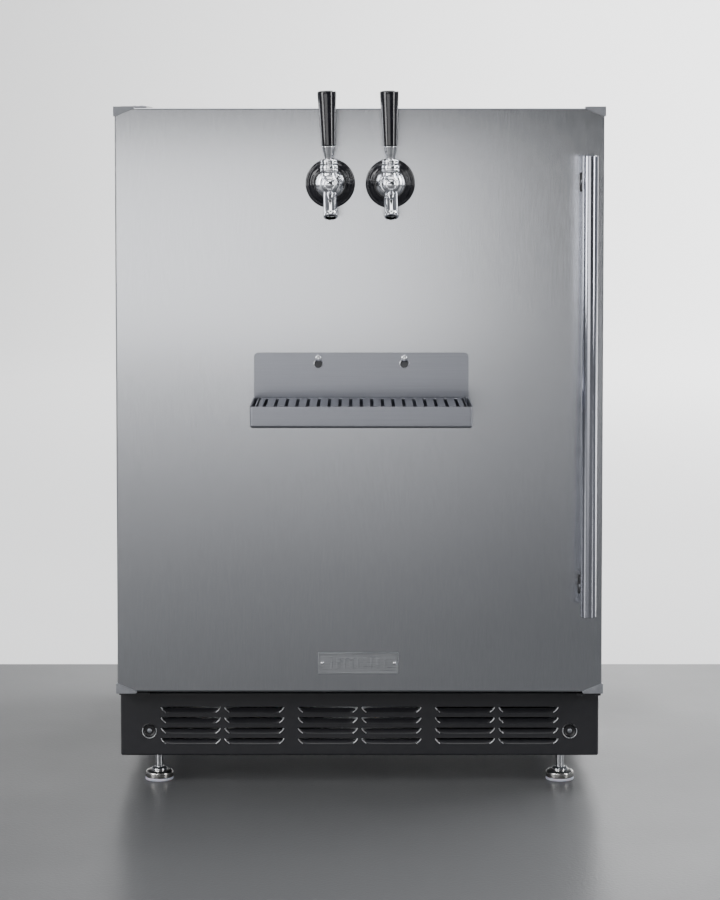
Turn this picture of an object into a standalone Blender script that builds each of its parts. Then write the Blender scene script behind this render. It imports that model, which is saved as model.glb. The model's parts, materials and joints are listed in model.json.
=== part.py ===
"""A two-tap kegerator: an undercounter refrigerator with beer faucets, a drip tray and levelling feet.

Metres, +Z up, -Y to the front, +X to the right as one faces the door. The origin is on the floor, at the
middle of the object's footprint.
"""

import math

import bmesh
import bpy
from mathutils import Matrix, Vector

# Overall sizes
WIDTH = 0.600
TOP = 0.850
REAR = 0.3675
GAP = 0.0003  # between pieces that touch

# Sides of a round piece
FINE = 24
ROUND = 20
SMALL = 12

# Door
DOOR_FRONT = -0.2425
DOOR_THICKNESS = 0.045
DOOR_BACK = DOOR_FRONT + DOOR_THICKNESS
DOOR_BOTTOM = 0.1283
DOOR_SHEET = 0.001
GASKET_GAP = 0.010
HINGE_X = -0.286
HINGE_Y = DOOR_FRONT + 0.028
PIN_R = 0.004

BADGE_X = -0.0017
BADGE_HALF = 0.0495
BADGE_Z = (0.1516, 0.1776)

# Cabinet
FRONT = DOOR_BACK + GASKET_GAP
SHEET = 0.0012
FLANGE = 0.0415
BASE_Z = 0.0395
BASE_SHEET = 0.0015
RAIL_TOP = 0.1685
FOAM_BOTTOM = 0.120
BAY_FRONT = 0.225  # the compressor bay's front wall
BAY_TOP = 0.262

# Keg cavity, inside the liner
CAVITY_HALF = 0.255
CAVITY_FLOOR = 0.172
CAVITY_TOP = 0.810
CAVITY_REAR = 0.310
HUMP_FRONT = 0.190
HUMP_TOP = 0.300
LINER = 0.002

# Kick grille
KICK_FRONT = DOOR_FRONT + 0.040
KICK_BOTTOM = 0.039
KICK_TOP = 0.119
LOUVRE_ROWS = 4
LOUVRE_PITCH = 0.01325
LOUVRE_TOP = 0.101
LOUVRE_HEIGHT = 0.0075
LOUVRE_COLUMNS = ((0.0024, 0.0774), (0.0948, 0.1696), (0.1745, 0.2494))

# Feet
FOOT_X = 0.2545
FOOT_Y = (DOOR_FRONT + 0.078, 0.320)
STEM_R = 0.005

# Handle
HANDLE_X = 0.278
HANDLE_Y = DOOR_FRONT - 0.053
HANDLE_R = 0.0095
HANDLE_Z = (0.2315, 0.792)
POST_Z = (0.2635, 0.7595)

# Drip tray
TRAY_X = 0.002
TRAY_WIDTH = 0.264
TRAY_REACH = 0.125
TRAY_BOTTOM = 0.4703
TRAY_RIM = 0.4957
TRAY_TOP = 0.550
TRAY_SHEET = 0.0012
SLOTS = 19
SLOT_PITCH = 0.0128
SLOT_WIDTH = 0.004
KEYHOLE_X = 0.0528
SCREW_Z = 0.5435
KEYHOLE_DROP = 0.0072

# Taps: sizes from here on are in the tap's own frame, with its origin on the door face and +Y into the door
TAPS = {"left": (-0.0359, -1.8), "right": (0.0376, -1.0)}  # place across the door, lean in degrees
TAP_Z = 0.758
SHANK_R = 0.011
SHANK_HOLE_R = 0.0118
PIVOT_REACH = 0.062
PIVOT_RISE = 0.010
DOME_R = 0.016
SPOUT_TILT = 27


# ---------------------------------------------------------------- helpers


def clear_scene():
    for obj in list(bpy.data.objects):
        bpy.data.objects.remove(obj)


def finish(name, color, roughness, metallic=0.0):
    """A Principled material of one colour."""
    material = bpy.data.materials.new(name)
    material.use_nodes = True
    shader = material.node_tree.nodes["Principled BSDF"]
    shader.inputs["Base Color"].default_value = (*color, 1)
    shader.inputs["Roughness"].default_value = roughness
    shader.inputs["Metallic"].default_value = metallic
    return material


def empty(name, place, parent=None, lean=0.0):
    """A joint's axis or a seat that pieces hang from."""
    axis = bpy.data.objects.new(name, None)
    bpy.context.scene.collection.objects.link(axis)
    axis.empty_display_size = 0.03
    axis.parent = parent
    axis.location = place
    axis.rotation_euler = (0, math.radians(lean), 0)
    return axis


def add(name, shape, parent=None, origin=(0, 0, 0)):
    """An object from a bmesh. The shape is drawn about the parent's own origin, or about the world's if
    origin gives the parent's place."""
    shape.normal_update()
    mesh = bpy.data.meshes.new(name)
    shape.to_mesh(mesh)
    shape.free()
    mesh.transform(Matrix.Translation(-Vector(origin)))
    mesh.shade_smooth()
    mesh.set_sharp_from_angle(angle=math.radians(35))
    obj = bpy.data.objects.new(name, mesh)
    bpy.context.scene.collection.objects.link(obj)
    obj.parent = parent
    return obj


def piece(name, shape, material, parent=None, origin=(0, 0, 0)):
    obj = add(name, shape, parent, origin)
    obj.data.materials.append(material)
    return obj


def boolean(obj, shape, operation="DIFFERENCE", origin=(0, 0, 0)):
    """Cuts a shape out of obj, or joins it on. The shape is drawn in the same frame as obj's own."""
    tool = add(obj.name + "_tool", shape, obj.parent, origin)
    tool.hide_render = True
    tool.display_type = "WIRE"
    modifier = obj.modifiers.new(operation.title(), "BOOLEAN")
    modifier.operation = operation
    modifier.solver = "EXACT"
    modifier.object = tool


def bevel(obj, width, segments=2, angle=40):
    modifier = obj.modifiers.new("Rounding", "BEVEL")
    modifier.width = width
    modifier.segments = segments
    modifier.limit_method = "ANGLE"
    modifier.angle_limit = math.radians(angle)


def joined(*shapes):
    """Several closed shapes in one bmesh."""
    whole = shapes[0]
    for shape in shapes[1:]:
        mesh = bpy.data.meshes.new("part")
        shape.to_mesh(mesh)
        whole.from_mesh(mesh)
        bpy.data.meshes.remove(mesh)
        shape.free()
    return whole


def block(low, high):
    shape = bmesh.new()
    size = Vector(high) - Vector(low)
    middle = (Vector(high) + Vector(low)) / 2
    bmesh.ops.create_cube(shape, size=1, matrix=Matrix.Translation(middle) @ Matrix.Diagonal((*size, 1)))
    return shape


def prism(outline, axis, start, end):
    """An outline, as points in the two directions left over, drawn along one axis."""
    along = "XYZ".index(axis)
    shape = bmesh.new()
    corners = []
    for a, b in outline:
        point = [a, b]
        point.insert(along, start)
        corners.append(shape.verts.new(point))
    face = shape.faces.new(corners)
    grown = bmesh.ops.extrude_face_region(shape, geom=[face])
    step = Vector([end - start if index == along else 0 for index in range(3)])
    moved = [part for part in grown["geom"] if isinstance(part, bmesh.types.BMVert)]
    bmesh.ops.translate(shape, verts=moved, vec=step)
    bmesh.ops.recalc_face_normals(shape, faces=shape.faces)
    return shape


def turned(profile, segments=ROUND, turn=None, place=(0, 0, 0)):
    """A (radius, height) profile turned about +Z, then laid along another direction by a matrix. The profile
    either starts and ends on the axis or is a closed ring."""
    shape = bmesh.new()
    points = [shape.verts.new((radius, 0, height)) for radius, height in profile]
    pairs = list(zip(points, points[1:]))
    if profile[0][0] > 0:
        pairs.append((points[-1], points[0]))
    edges = [shape.edges.new(pair) for pair in pairs]
    line = points + edges
    bmesh.ops.spin(shape, geom=line, axis=(0, 0, 1), angle=math.tau, steps=segments, use_merge=True)
    bmesh.ops.remove_doubles(shape, verts=shape.verts, dist=1e-6)
    bmesh.ops.recalc_face_normals(shape, faces=shape.faces)
    shape.transform(Matrix.Translation(place) @ (turn or Matrix()))
    return shape


FORWARD = Matrix.Rotation(math.radians(90), 4, "X")  # +Z laid along -Y
BACKWARD = Matrix.Rotation(math.radians(-90), 4, "X")  # +Z laid along +Y


def rod(radius, start, end, turn=None, place=(0, 0, 0), segments=ROUND):
    return turned([(0, start), (radius, start), (radius, end), (0, end)], segments, turn, place)


def arc(radius, start, end, steps):
    """Points of an arc about the axis's origin, as (radius, height), by angle from the axis in degrees."""
    angles = [math.radians(start + (end - start) * i / steps) for i in range(steps + 1)]
    return [(radius * math.sin(angle), radius * math.cos(angle)) for angle in angles]


def picture_frame(outer, inner, start, end):
    """A rectangular ring in the XZ plane. outer and inner are (half width, low z, high z)."""
    shape = bmesh.new()
    loops = []
    for y in (start, end):
        for half, low, high in (outer, inner):
            corners = ((-half, low), (half, low), (half, high), (-half, high))
            loops.append([shape.verts.new((x, y, z)) for x, z in corners])
    front_outer, front_inner, back_outer, back_inner = loops
    walls = (
        (front_outer, front_inner),
        (front_inner, back_inner),
        (back_inner, back_outer),
        (back_outer, front_outer),
    )
    for one, other in walls:
        for i in range(4):
            j = (i + 1) % 4
            shape.faces.new((one[i], one[j], other[j], other[i]))
    bmesh.ops.recalc_face_normals(shape, faces=shape.faces)
    return shape


def repeated(make, places):
    """The same shape at each place, as one bmesh of separate shapes."""
    shapes = []
    for place in places:
        shape = make()
        shape.transform(Matrix.Translation(place))
        shapes.append(shape)
    return joined(*shapes)


# ---------------------------------------------------------------- cabinet


def side_panel(side, material):
    """A folded sheet: the side wall, a front flange for the gasket's magnet and a short rear flange."""
    name = "left_side_panel" if side < 0 else "right_side_panel"
    out = WIDTH / 2
    rear = REAR - SHEET - GAP
    outline = [
        (out, FRONT),
        (out, rear),
        (out - 0.020, rear),
        (out - 0.020, rear - SHEET),
        (out - SHEET, rear - SHEET),
        (out - SHEET, FRONT + SHEET),
        (out - FLANGE, FRONT + SHEET),
        (out - FLANGE, FRONT),
    ]
    outline = [(side * x, y) for x, y in outline]
    piece(name, prism(outline, "Z", BASE_Z, TOP - SHEET - GAP), material)


def top_panel(material):
    """The top sheet with a lip folded down over the front."""
    out = WIDTH / 2
    panel = piece("top_panel", block((-out, FRONT, TOP - SHEET), (out, REAR, TOP)), material)
    reach = out - FLANGE - GAP
    low = CAVITY_TOP + LINER + 0.0015
    lip = block((-reach, FRONT + GAP, low), (reach, FRONT + GAP + SHEET, TOP - GAP))
    boolean(panel, lip, "UNION")


def back_panel(material):
    """The rear sheet, with vents over the compressor bay and a cut-out for the mains inlet."""
    out = WIDTH / 2 - SHEET - GAP
    front = REAR - SHEET
    shape = block((-out, front, BASE_Z + 0.002), (out, REAR, TOP - SHEET - GAP))
    panel = piece("back_panel", shape, material)
    half = (0.070, 0.010, 0.003)
    rows = [0.085 + 0.016 * row for row in range(10)]
    slots = repeated(
        lambda: block([-v for v in half], half), [(x, REAR, z) for x in (-0.150, 0.040) for z in rows]
    )
    inlet = block((0.1855, front - 0.010, 0.0695), (0.2145, REAR + 0.010, 0.0915))
    boolean(panel, joined(slots, inlet))


def base_pan(material):
    """The floor of the compressor bay and a front rail that the gasket closes on, with a window for air."""
    out = WIDTH / 2 - SHEET - 0.0004
    rail = WIDTH / 2 - FLANGE - GAP
    front = FRONT + 0.0015
    rear = REAR - SHEET - GAP
    outline = [
        (-out, front),
        (-rail, front),
        (-rail, FRONT),
        (rail, FRONT),
        (rail, front),
        (out, front),
        (out, rear - 0.0015),
        (-out, rear - 0.0015),
    ]
    pan = piece("base_pan", prism(outline, "Z", BASE_Z, BASE_Z + BASE_SHEET), material)
    inset = rail - GAP
    wall = block((-inset, FRONT + GAP, BASE_Z + GAP), (inset, FRONT + GAP + SHEET, RAIL_TOP))
    boolean(pan, wall, "UNION")
    window = block((-0.240, FRONT - 0.010, 0.050), (0.240, FRONT + 0.010, 0.112))
    places = [(x, y, 0.02) for x in (-FOOT_X, FOOT_X) for y in FOOT_Y]
    holes = [rod(STEM_R + GAP, 0, 0.060, place=place, segments=SMALL) for place in places]
    boolean(pan, joined(window, *holes))


def stepped(front, rear, low, high, step_y, step_z):
    """The side outline of the cavity, with its step over the compressor bay, as (y, z)."""
    return [(front, low), (step_y, low), (step_y, step_z), (rear, step_z), (rear, high), (front, high)]


def cabinet_liner(material):
    """The moulded inner box, open to the front."""
    half = CAVITY_HALF + LINER
    outer = stepped(
        FRONT + GAP,
        CAVITY_REAR + LINER,
        CAVITY_FLOOR - LINER,
        CAVITY_TOP + LINER,
        HUMP_FRONT + LINER,
        HUMP_TOP - LINER,
    )
    inner = stepped(FRONT - 0.02, CAVITY_REAR, CAVITY_FLOOR, CAVITY_TOP, HUMP_FRONT, HUMP_TOP)
    liner = piece("cabinet_liner", prism(outer, "X", -half, half), material)
    boolean(liner, prism(inner, "X", -CAVITY_HALF, CAVITY_HALF))


def cabinet_foam(material):
    """The insulation between the liner and the outer panels."""
    half = WIDTH / 2 - SHEET - 0.0004
    rear = REAR - 0.003
    front = FRONT + 0.0022
    outer = stepped(front, rear, FOAM_BOTTOM, TOP - SHEET - GAP, BAY_FRONT, BAY_TOP)
    inner = stepped(
        FRONT - 0.02,
        CAVITY_REAR + LINER + GAP,
        CAVITY_FLOOR - LINER - GAP,
        CAVITY_TOP + LINER + GAP,
        HUMP_FRONT + LINER + GAP,
        HUMP_TOP - LINER - GAP,
    )
    foam = piece("cabinet_foam", prism(outer, "X", -half, half), material)
    room = CAVITY_HALF + LINER + GAP
    boolean(foam, prism(inner, "X", -room, room))


def keg_floor_plate(material):
    """A steel plate that spreads a full keg's weight, with two raised runners."""
    low = CAVITY_FLOOR + GAP
    plate = piece("keg_floor_plate", block((-0.238, -0.170, low), (0.238, 0.184, low + 0.0015)), material)
    half = (0.010, 0.167, 0.002)
    places = [(x, 0.007, low + 0.003) for x in (-0.09, 0.09)]
    runners = repeated(lambda: block([-v for v in half], half), places)
    boolean(plate, runners, "UNION")


def evaporator(cover_material, fan_material):
    """A moulded cover on the rear wall, open behind, with a round opening for its fan and slots below."""
    rear = CAVITY_REAR - GAP
    cover = piece("evaporator_cover", block((-0.130, 0.280, 0.540), (0.130, rear, 0.790)), cover_material)
    bevel(cover, 0.004)
    boolean(cover, block((-0.1275, 0.2825, 0.5425), (0.1275, rear + 0.01, 0.7875)))
    opening = rod(0.047, -0.02, 0.02, BACKWARD, (0, 0.281, 0.710), FINE)
    places = [(0, 0.281, 0.560 + 0.011 * row) for row in range(6)]
    slots = repeated(lambda: block((-0.10, -0.01, -0.002), (0.10, 0.01, 0.002)), places)
    boolean(cover, joined(opening, slots))
    fan_wheel("evaporator_fan", (0, 0.2905, 0.710), 0.043, 0.013, 0.008, fan_material)


def fan_wheel(name, centre, radius, hub, depth, material):
    """A hub with five pitched blades, on an empty at its axle."""
    axle = empty(name + "_axle", centre)
    wheel = piece(name, rod(hub, -depth, depth, BACKWARD), material, axle)
    blades = []
    for index in range(5):
        blade = block((-0.30 * radius, -0.0009, 0.5 * hub), (0.30 * radius, 0.0009, radius))
        pitch = Matrix.Rotation(math.radians(24), 4, "Z")
        around = Matrix.Rotation(math.tau * index / 5, 4, "Y")
        blade.transform(around @ pitch)
        blades.append(blade)
    for blade in blades:
        boolean(wheel, blade, "UNION")


def thermostat(box_material, knob_material):
    """A housing under the cavity's roof, open above, and its knob."""
    top = CAVITY_TOP - GAP
    box = piece("control_box", block((0.150, -0.110, 0.770), (0.245, 0.020, top)), box_material)
    bevel(box, 0.003)
    boolean(box, block((0.1525, -0.1075, 0.7725), (0.2425, 0.0175, top + 0.01)))
    boolean(box, rod(0.0036, -0.02, 0.02, FORWARD, (0.1975, -0.110, 0.790), SMALL))
    axle = empty("control_knob_axle", (0.1975, -0.1103, 0.790))
    profile = [
        (0, -0.012),
        (0.003, -0.012),
        (0.003, 0),
        (0.0145, 0),
        (0.0145, 0.003),
        (0.0120, 0.012),
        (0.0110, 0.013),
        (0, 0.013),
    ]
    knob = piece("control_knob", turned(profile, ROUND, FORWARD), knob_material, axle)
    boolean(knob, block((-0.0012, -0.020, 0.003), (0.0012, -0.0118, 0.020)))


def hinges(material):
    """The upper hinge sits on the cabinet's top and the lower one under the door, each with its pin."""
    out = -WIDTH / 2 + 0.001
    plate = block((HINGE_X - 0.008, HINGE_Y - 0.0105, TOP + 0.0004), (out + 0.037, -0.140, TOP + 0.0026))
    upper = piece("upper_hinge", plate, material)
    axis = (HINGE_X, HINGE_Y, 0)
    boolean(upper, rod(PIN_R, TOP - 0.014, TOP + 0.0015, place=axis, segments=SMALL), "UNION")

    plate = block((out, HINGE_Y - 0.0165, 0.122), (out + 0.037, FRONT - GAP, 0.125))
    lower = piece("lower_hinge", plate, material)
    leg = block((out + GAP, FRONT - 0.0033, 0.092), (out + 0.0367, FRONT - 2 * GAP, 0.1245))
    boolean(lower, leg, "UNION")
    boolean(lower, rod(PIN_R, 0.1235, 0.143, place=axis, segments=SMALL), "UNION")


def stop_bracket(material):
    """A short angle under the door's free corner, screwed to the cabinet."""
    shape = block((0.270, DOOR_FRONT + 0.006, 0.122), (0.2995, FRONT - GAP, 0.125))
    plate = piece("stop_bracket", shape, material)
    leg = block((0.2703, FRONT - 0.0033, 0.095), (0.2992, FRONT - 2 * GAP, 0.1245))
    boolean(plate, leg, "UNION")


def kick_grille(material):
    """A shallow folded pan with louvres pressed inward: each is open above and slopes in from below."""
    out = WIDTH / 2
    back = FRONT - 0.004
    pan = piece("kick_grille", block((-out, KICK_FRONT, KICK_BOTTOM), (out, back, KICK_TOP)), material)
    bevel(pan, 0.0015)
    inset = out - SHEET
    low = KICK_BOTTOM + SHEET
    boolean(pan, block((-inset, KICK_FRONT + SHEET, low), (inset, back + 0.01, KICK_TOP - SHEET)))
    openings = []
    slopes = []
    for side in (-1, 1):
        for near, far in LOUVRE_COLUMNS:
            low_x, high_x = sorted((side * near, side * far))
            for row in range(LOUVRE_ROWS):
                top = LOUVRE_TOP - LOUVRE_PITCH * row
                bottom = top - LOUVRE_HEIGHT
                openings.append(block((low_x, KICK_FRONT - 0.004, bottom), (high_x, KICK_FRONT + 0.004, top)))
                outline = [
                    (KICK_FRONT + 0.0002, bottom - 0.0006),
                    (KICK_FRONT + 0.0072, top - 0.0012),
                    (KICK_FRONT + 0.0064, top - 0.0004),
                    (KICK_FRONT + 0.0002, bottom + 0.0008),
                ]
                slopes.append(prism(outline, "X", low_x + GAP, high_x - GAP))
    boolean(pan, joined(*openings))
    boolean(pan, joined(*slopes), "UNION")


def machinery(black, fin_material, fan_material, inlet_material):
    """Behind the kick grille and vents: the compressor, the condenser with its fan, and the mains inlet."""
    floor = BASE_Z + BASE_SHEET + GAP
    profile = [
        (0, 0),
        (0.045, 0),
        (0.058, 0.010),
        (0.061, 0.035),
        (0.061, 0.070),
        (0.064, 0.071),
        (0.064, 0.077),
        (0.061, 0.078),
        (0.058, 0.105),
        (0.047, 0.122),
        (0.028, 0.131),
        (0, 0.134),
    ]
    shell = turned(profile, ROUND, place=(-0.130, 0.296, floor + 0.010))
    compressor = piece("compressor", shell, black)
    feet = block((-0.215, 0.246, floor + 0.008), (-0.045, 0.346, floor + 0.011))
    boolean(compressor, feet, "UNION")
    places = [(x, y, floor) for x in (-0.204, -0.056) for y in (0.257, 0.335)]
    posts = [rod(0.009, 0, 0.010, place=place, segments=SMALL) for place in places]
    boolean(compressor, joined(*posts), "UNION")

    condenser = piece("condenser", block((0.020, 0.2300, floor), (0.180, 0.2680, 0.225)), fin_material)
    gaps = repeated(
        lambda: block((-0.002, -0.020, 0.012), (0.002, 0.020, 0.172)),
        [(0.031 + 0.0126 * i, 0.243, floor) for i in range(12)],
    )
    boolean(condenser, gaps)
    fan_wheel("condenser_fan", (0.100, 0.300, 0.135), 0.070, 0.018, 0.012, fan_material)

    shape = block((0.1858, REAR - 0.028, 0.0698), (0.2142, REAR + GAP, 0.0912))
    inlet = piece("power_inlet", shape, inlet_material)
    boolean(inlet, block((0.1880, REAR - 0.018, 0.0720), (0.2120, REAR + 0.01, 0.0890)))


# ---------------------------------------------------------------- feet


def feet(chrome, plastic):
    """A threaded stem with a domed cap in a plastic pad, at each corner."""
    stem_profile = [
        (0, 0.0053),
        (0.0165, 0.0053),
        (0.0177, 0.0062),
        (0.0177, 0.0090),
        (0.0168, 0.0108),
        (0.0145, 0.0118),
        (0.0090, 0.0122),
        (0.0090, 0.0150),
        (STEM_R, 0.0152),
        (STEM_R, 0.0600),
        (0, 0.0600),
    ]
    pad_profile = [(0, 0), (0.0172, 0), (0.0182, 0.0010), (0.0182, 0.0042), (0.0175, 0.0050), (0, 0.0050)]
    for across, x in (("left", -FOOT_X), ("right", FOOT_X)):
        for depth, y in zip(("front", "rear"), FOOT_Y):
            axis = empty(f"foot_{depth}_{across}_axis", (x, y, 0))
            piece(f"foot_stem_{depth}_{across}", turned(stem_profile, 16), chrome, axis)
            piece(f"foot_pad_{depth}_{across}", turned(pad_profile, 16), plastic, axis)


# ---------------------------------------------------------------- door


def pin_holes():
    """Clearance for the hinge pins, at the door's top and bottom."""
    radius = PIN_R + 0.0006
    low = rod(radius, DOOR_BOTTOM - 0.010, 0.146, place=(HINGE_X, HINGE_Y, 0), segments=SMALL)
    high = rod(radius, TOP - 0.018, TOP + 0.010, place=(HINGE_X, HINGE_Y, 0), segments=SMALL)
    return joined(low, high)


def shank_holes():
    places = [(x, 0, TAP_Z) for x, _ in TAPS.values()]
    return repeated(lambda: rod(SHANK_HOLE_R, 0.150, 0.300, FORWARD), places)


def door(materials, axis):
    """The stainless pan, its insulation, the moulded liner with its raised border, and the gasket."""
    pivot = axis.location
    half = WIDTH / 2
    outer = block((-half, DOOR_FRONT, DOOR_BOTTOM), (half, DOOR_BACK, TOP))
    skin = piece("door_skin", outer, materials["stainless"], axis, pivot)
    bevel(skin, 0.002, 3)
    inset = half - DOOR_SHEET
    low = (-inset, DOOR_FRONT + DOOR_SHEET, DOOR_BOTTOM + DOOR_SHEET)
    boolean(skin, block(low, (inset, DOOR_BACK + 0.01, TOP - DOOR_SHEET)), origin=pivot)
    boolean(skin, joined(pin_holes(), shank_holes()), origin=pivot)

    inset -= GAP
    low = DOOR_BOTTOM + DOOR_SHEET + GAP
    high = TOP - DOOR_SHEET - GAP
    liner_front = DOOR_BACK - 0.0022
    foam_shape = block((-inset, DOOR_FRONT + DOOR_SHEET + GAP, low), (inset, liner_front - GAP, high))
    foam = piece("door_foam", foam_shape, materials["foam"], axis, pivot)
    boolean(foam, joined(pin_holes(), shank_holes()), origin=pivot)

    plate = block((-inset, liner_front, low), (inset, DOOR_BACK - 2 * GAP, high))
    liner = piece("door_liner", plate, materials["white_plastic"], axis, pivot)
    border_back = DOOR_FRONT + 0.068
    border = picture_frame((0.250, 0.178, 0.804), (0.222, 0.206, 0.776), DOOR_BACK - 0.0012, border_back)
    boolean(liner, border, "UNION", pivot)
    groove = picture_frame(
        (0.248, 0.180, 0.802), (0.224, 0.204, 0.778), liner_front - 0.01, border_back - LINER
    )
    boolean(liner, groove, origin=pivot)
    boolean(liner, shank_holes(), origin=pivot)

    seal = picture_frame((0.284, 0.1443, 0.834), (0.264, 0.1643, 0.814), DOOR_BACK - GAP, FRONT - GAP)
    piece("door_gasket", seal, materials["rubber"], axis, pivot)

    low = (BADGE_X - BADGE_HALF, DOOR_FRONT - 0.0023, BADGE_Z[0])
    badge = block(low, (BADGE_X + BADGE_HALF, DOOR_FRONT - GAP, BADGE_Z[1]))
    plate = piece("badge_plate", badge, materials["satin_grey"], axis, pivot)
    bevel(plate, 0.0006)


def corner_caps(material, axis):
    """Thin shells over the door's four corners, three-cornered as seen from the front."""
    out = WIDTH / 2
    for across, side in (("left", -1), ("right", 1)):
        for level, edge, up in (("upper", TOP, 1), ("lower", DOOR_BOTTOM, -1)):
            rim = edge + up * 0.002
            outline = [
                (side * (out + 0.0016), rim),
                (side * (out - 0.024), rim),
                (side * (out - 0.024), edge - up * 0.0005),
                (side * (out - 0.0010), edge - up * 0.0100),
                (side * (out + 0.0016), edge - up * 0.0104),
            ]
            front = DOOR_FRONT - 0.0016
            back = DOOR_FRONT + 0.012
            name = f"corner_cap_{level}_{across}"
            cap = piece(name, prism(outline, "Y", front, back), material, axis, axis.location)
            door_room = block(
                (-out - GAP, DOOR_FRONT - GAP, DOOR_BOTTOM - GAP), (out + GAP, DOOR_BACK, TOP + GAP)
            )
            boolean(cap, door_room, origin=axis.location)


def handle(bar_material, post_material, axis):
    """A straight bar on two posts whose ends are hollowed to seat it."""
    low, high = HANDLE_Z
    profile = [
        (0, low),
        (HANDLE_R - 0.0008, low),
        (HANDLE_R, low + 0.0008),
        (HANDLE_R, high - 0.0008),
        (HANDLE_R - 0.0008, high),
        (0, high),
    ]
    bar = turned(profile, FINE, place=(HANDLE_X, HANDLE_Y, 0))
    piece("handle_bar", bar, bar_material, axis, axis.location)
    for level, z in zip(("lower", "upper"), POST_Z):
        low_corner = (HANDLE_X - 0.0065, HANDLE_Y + 0.004, z - 0.010)
        high_corner = (HANDLE_X + 0.0065, DOOR_FRONT - GAP, z + 0.010)
        shape = block(low_corner, high_corner)
        post = piece(f"handle_post_{level}", shape, post_material, axis, axis.location)
        bevel(post, 0.0012)
        seat = rod(HANDLE_R + GAP, z - 0.02, z + 0.02, place=(HANDLE_X, HANDLE_Y, 0), segments=FINE)
        boolean(post, seat, origin=axis.location)


# ---------------------------------------------------------------- drip tray


def drip_tray(steel, chrome, door_axis):
    """A folded stainless tray that hangs by keyholes on two screws, with a lift-out slotted grate."""
    pivot = door_axis.location
    left = TRAY_X - TRAY_WIDTH / 2
    right = TRAY_X + TRAY_WIDTH / 2
    rear = DOOR_FRONT - GAP
    front = DOOR_FRONT - TRAY_REACH
    corner = 0.005
    outline = [(right, TRAY_BOTTOM), (right, TRAY_TOP - corner)]
    for step in range(1, 4):
        angle = math.radians(30 * step)
        outline.append((right - corner * (1 - math.cos(angle)), TRAY_TOP - corner * (1 - math.sin(angle))))
    for step in range(4):
        angle = math.radians(90 + 30 * step)
        outline.append((left + corner * (1 + math.cos(angle)), TRAY_TOP - corner * (1 - math.sin(angle))))
    outline.append((left, TRAY_BOTTOM))
    tray = piece("drip_tray", prism(outline, "Y", rear - TRAY_SHEET, rear), steel, door_axis, pivot)
    basin = block((left + GAP, front, TRAY_BOTTOM - GAP), (right - GAP, rear - GAP, TRAY_RIM))
    boolean(tray, basin, "UNION", pivot)
    inside = block(
        (left + TRAY_SHEET, front + TRAY_SHEET, TRAY_BOTTOM + TRAY_SHEET),
        (right - TRAY_SHEET, rear - TRAY_SHEET, TRAY_RIM + 0.01),
    )
    boolean(tray, inside, origin=pivot)
    keyholes = []
    for side in (-1, 1):
        x = TRAY_X + side * KEYHOLE_X
        hole = (x, rear, SCREW_Z - KEYHOLE_DROP)
        keyholes.append(rod(0.005, -0.01, 0.01, FORWARD, hole, 16))
    boolean(tray, joined(*keyholes), origin=pivot)
    for side in (-1, 1):
        x = TRAY_X + side * KEYHOLE_X
        low = (x - 0.0024, rear - 0.01, SCREW_Z - KEYHOLE_DROP)
        boolean(tray, block(low, (x + 0.0024, rear + 0.01, SCREW_Z + 0.0024)), origin=pivot)

    screw_profile = [
        (0, 0),
        (0.0019, 0),
        (0.0019, 0.0018),
        (0.0040, 0.0018),
        (0.0040, 0.0026),
        (0.0030, 0.0036),
        (0.0016, 0.0041),
        (0, 0.0042),
    ]
    for across, side in (("left", -1), ("right", 1)):
        place = Vector((TRAY_X + side * KEYHOLE_X, DOOR_FRONT - GAP, SCREW_Z))
        screw = turned(screw_profile, SMALL, FORWARD, place)
        piece(f"tray_screw_{across}", screw, chrome, door_axis, pivot)

    inset = 0.0052
    low = TRAY_BOTTOM + TRAY_SHEET + GAP
    top = TRAY_RIM - 0.0010
    grate_low = (left + inset, front + 0.0022, low)
    grate_high = (right - inset, rear - 0.0048, top)  # its rear edge lifts past the screw heads
    grate = piece("drip_grate", block(grate_low, grate_high), steel, door_axis, pivot)
    inset += TRAY_SHEET
    under_low = (left + inset, front - 0.01, low - 0.01)
    under_high = (right - inset, rear + 0.01, top - TRAY_SHEET)
    boolean(grate, block(under_low, under_high), origin=pivot)
    half = (SLOT_WIDTH / 2, TRAY_REACH / 2 - 0.012, 0.010)
    middle_y = (front + rear) / 2
    places = [(TRAY_X + SLOT_PITCH * (i - (SLOTS - 1) / 2), middle_y, top) for i in range(SLOTS)]
    boolean(grate, repeated(lambda: block([-v for v in half], half), places), origin=pivot)


# ---------------------------------------------------------------- taps


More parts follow.
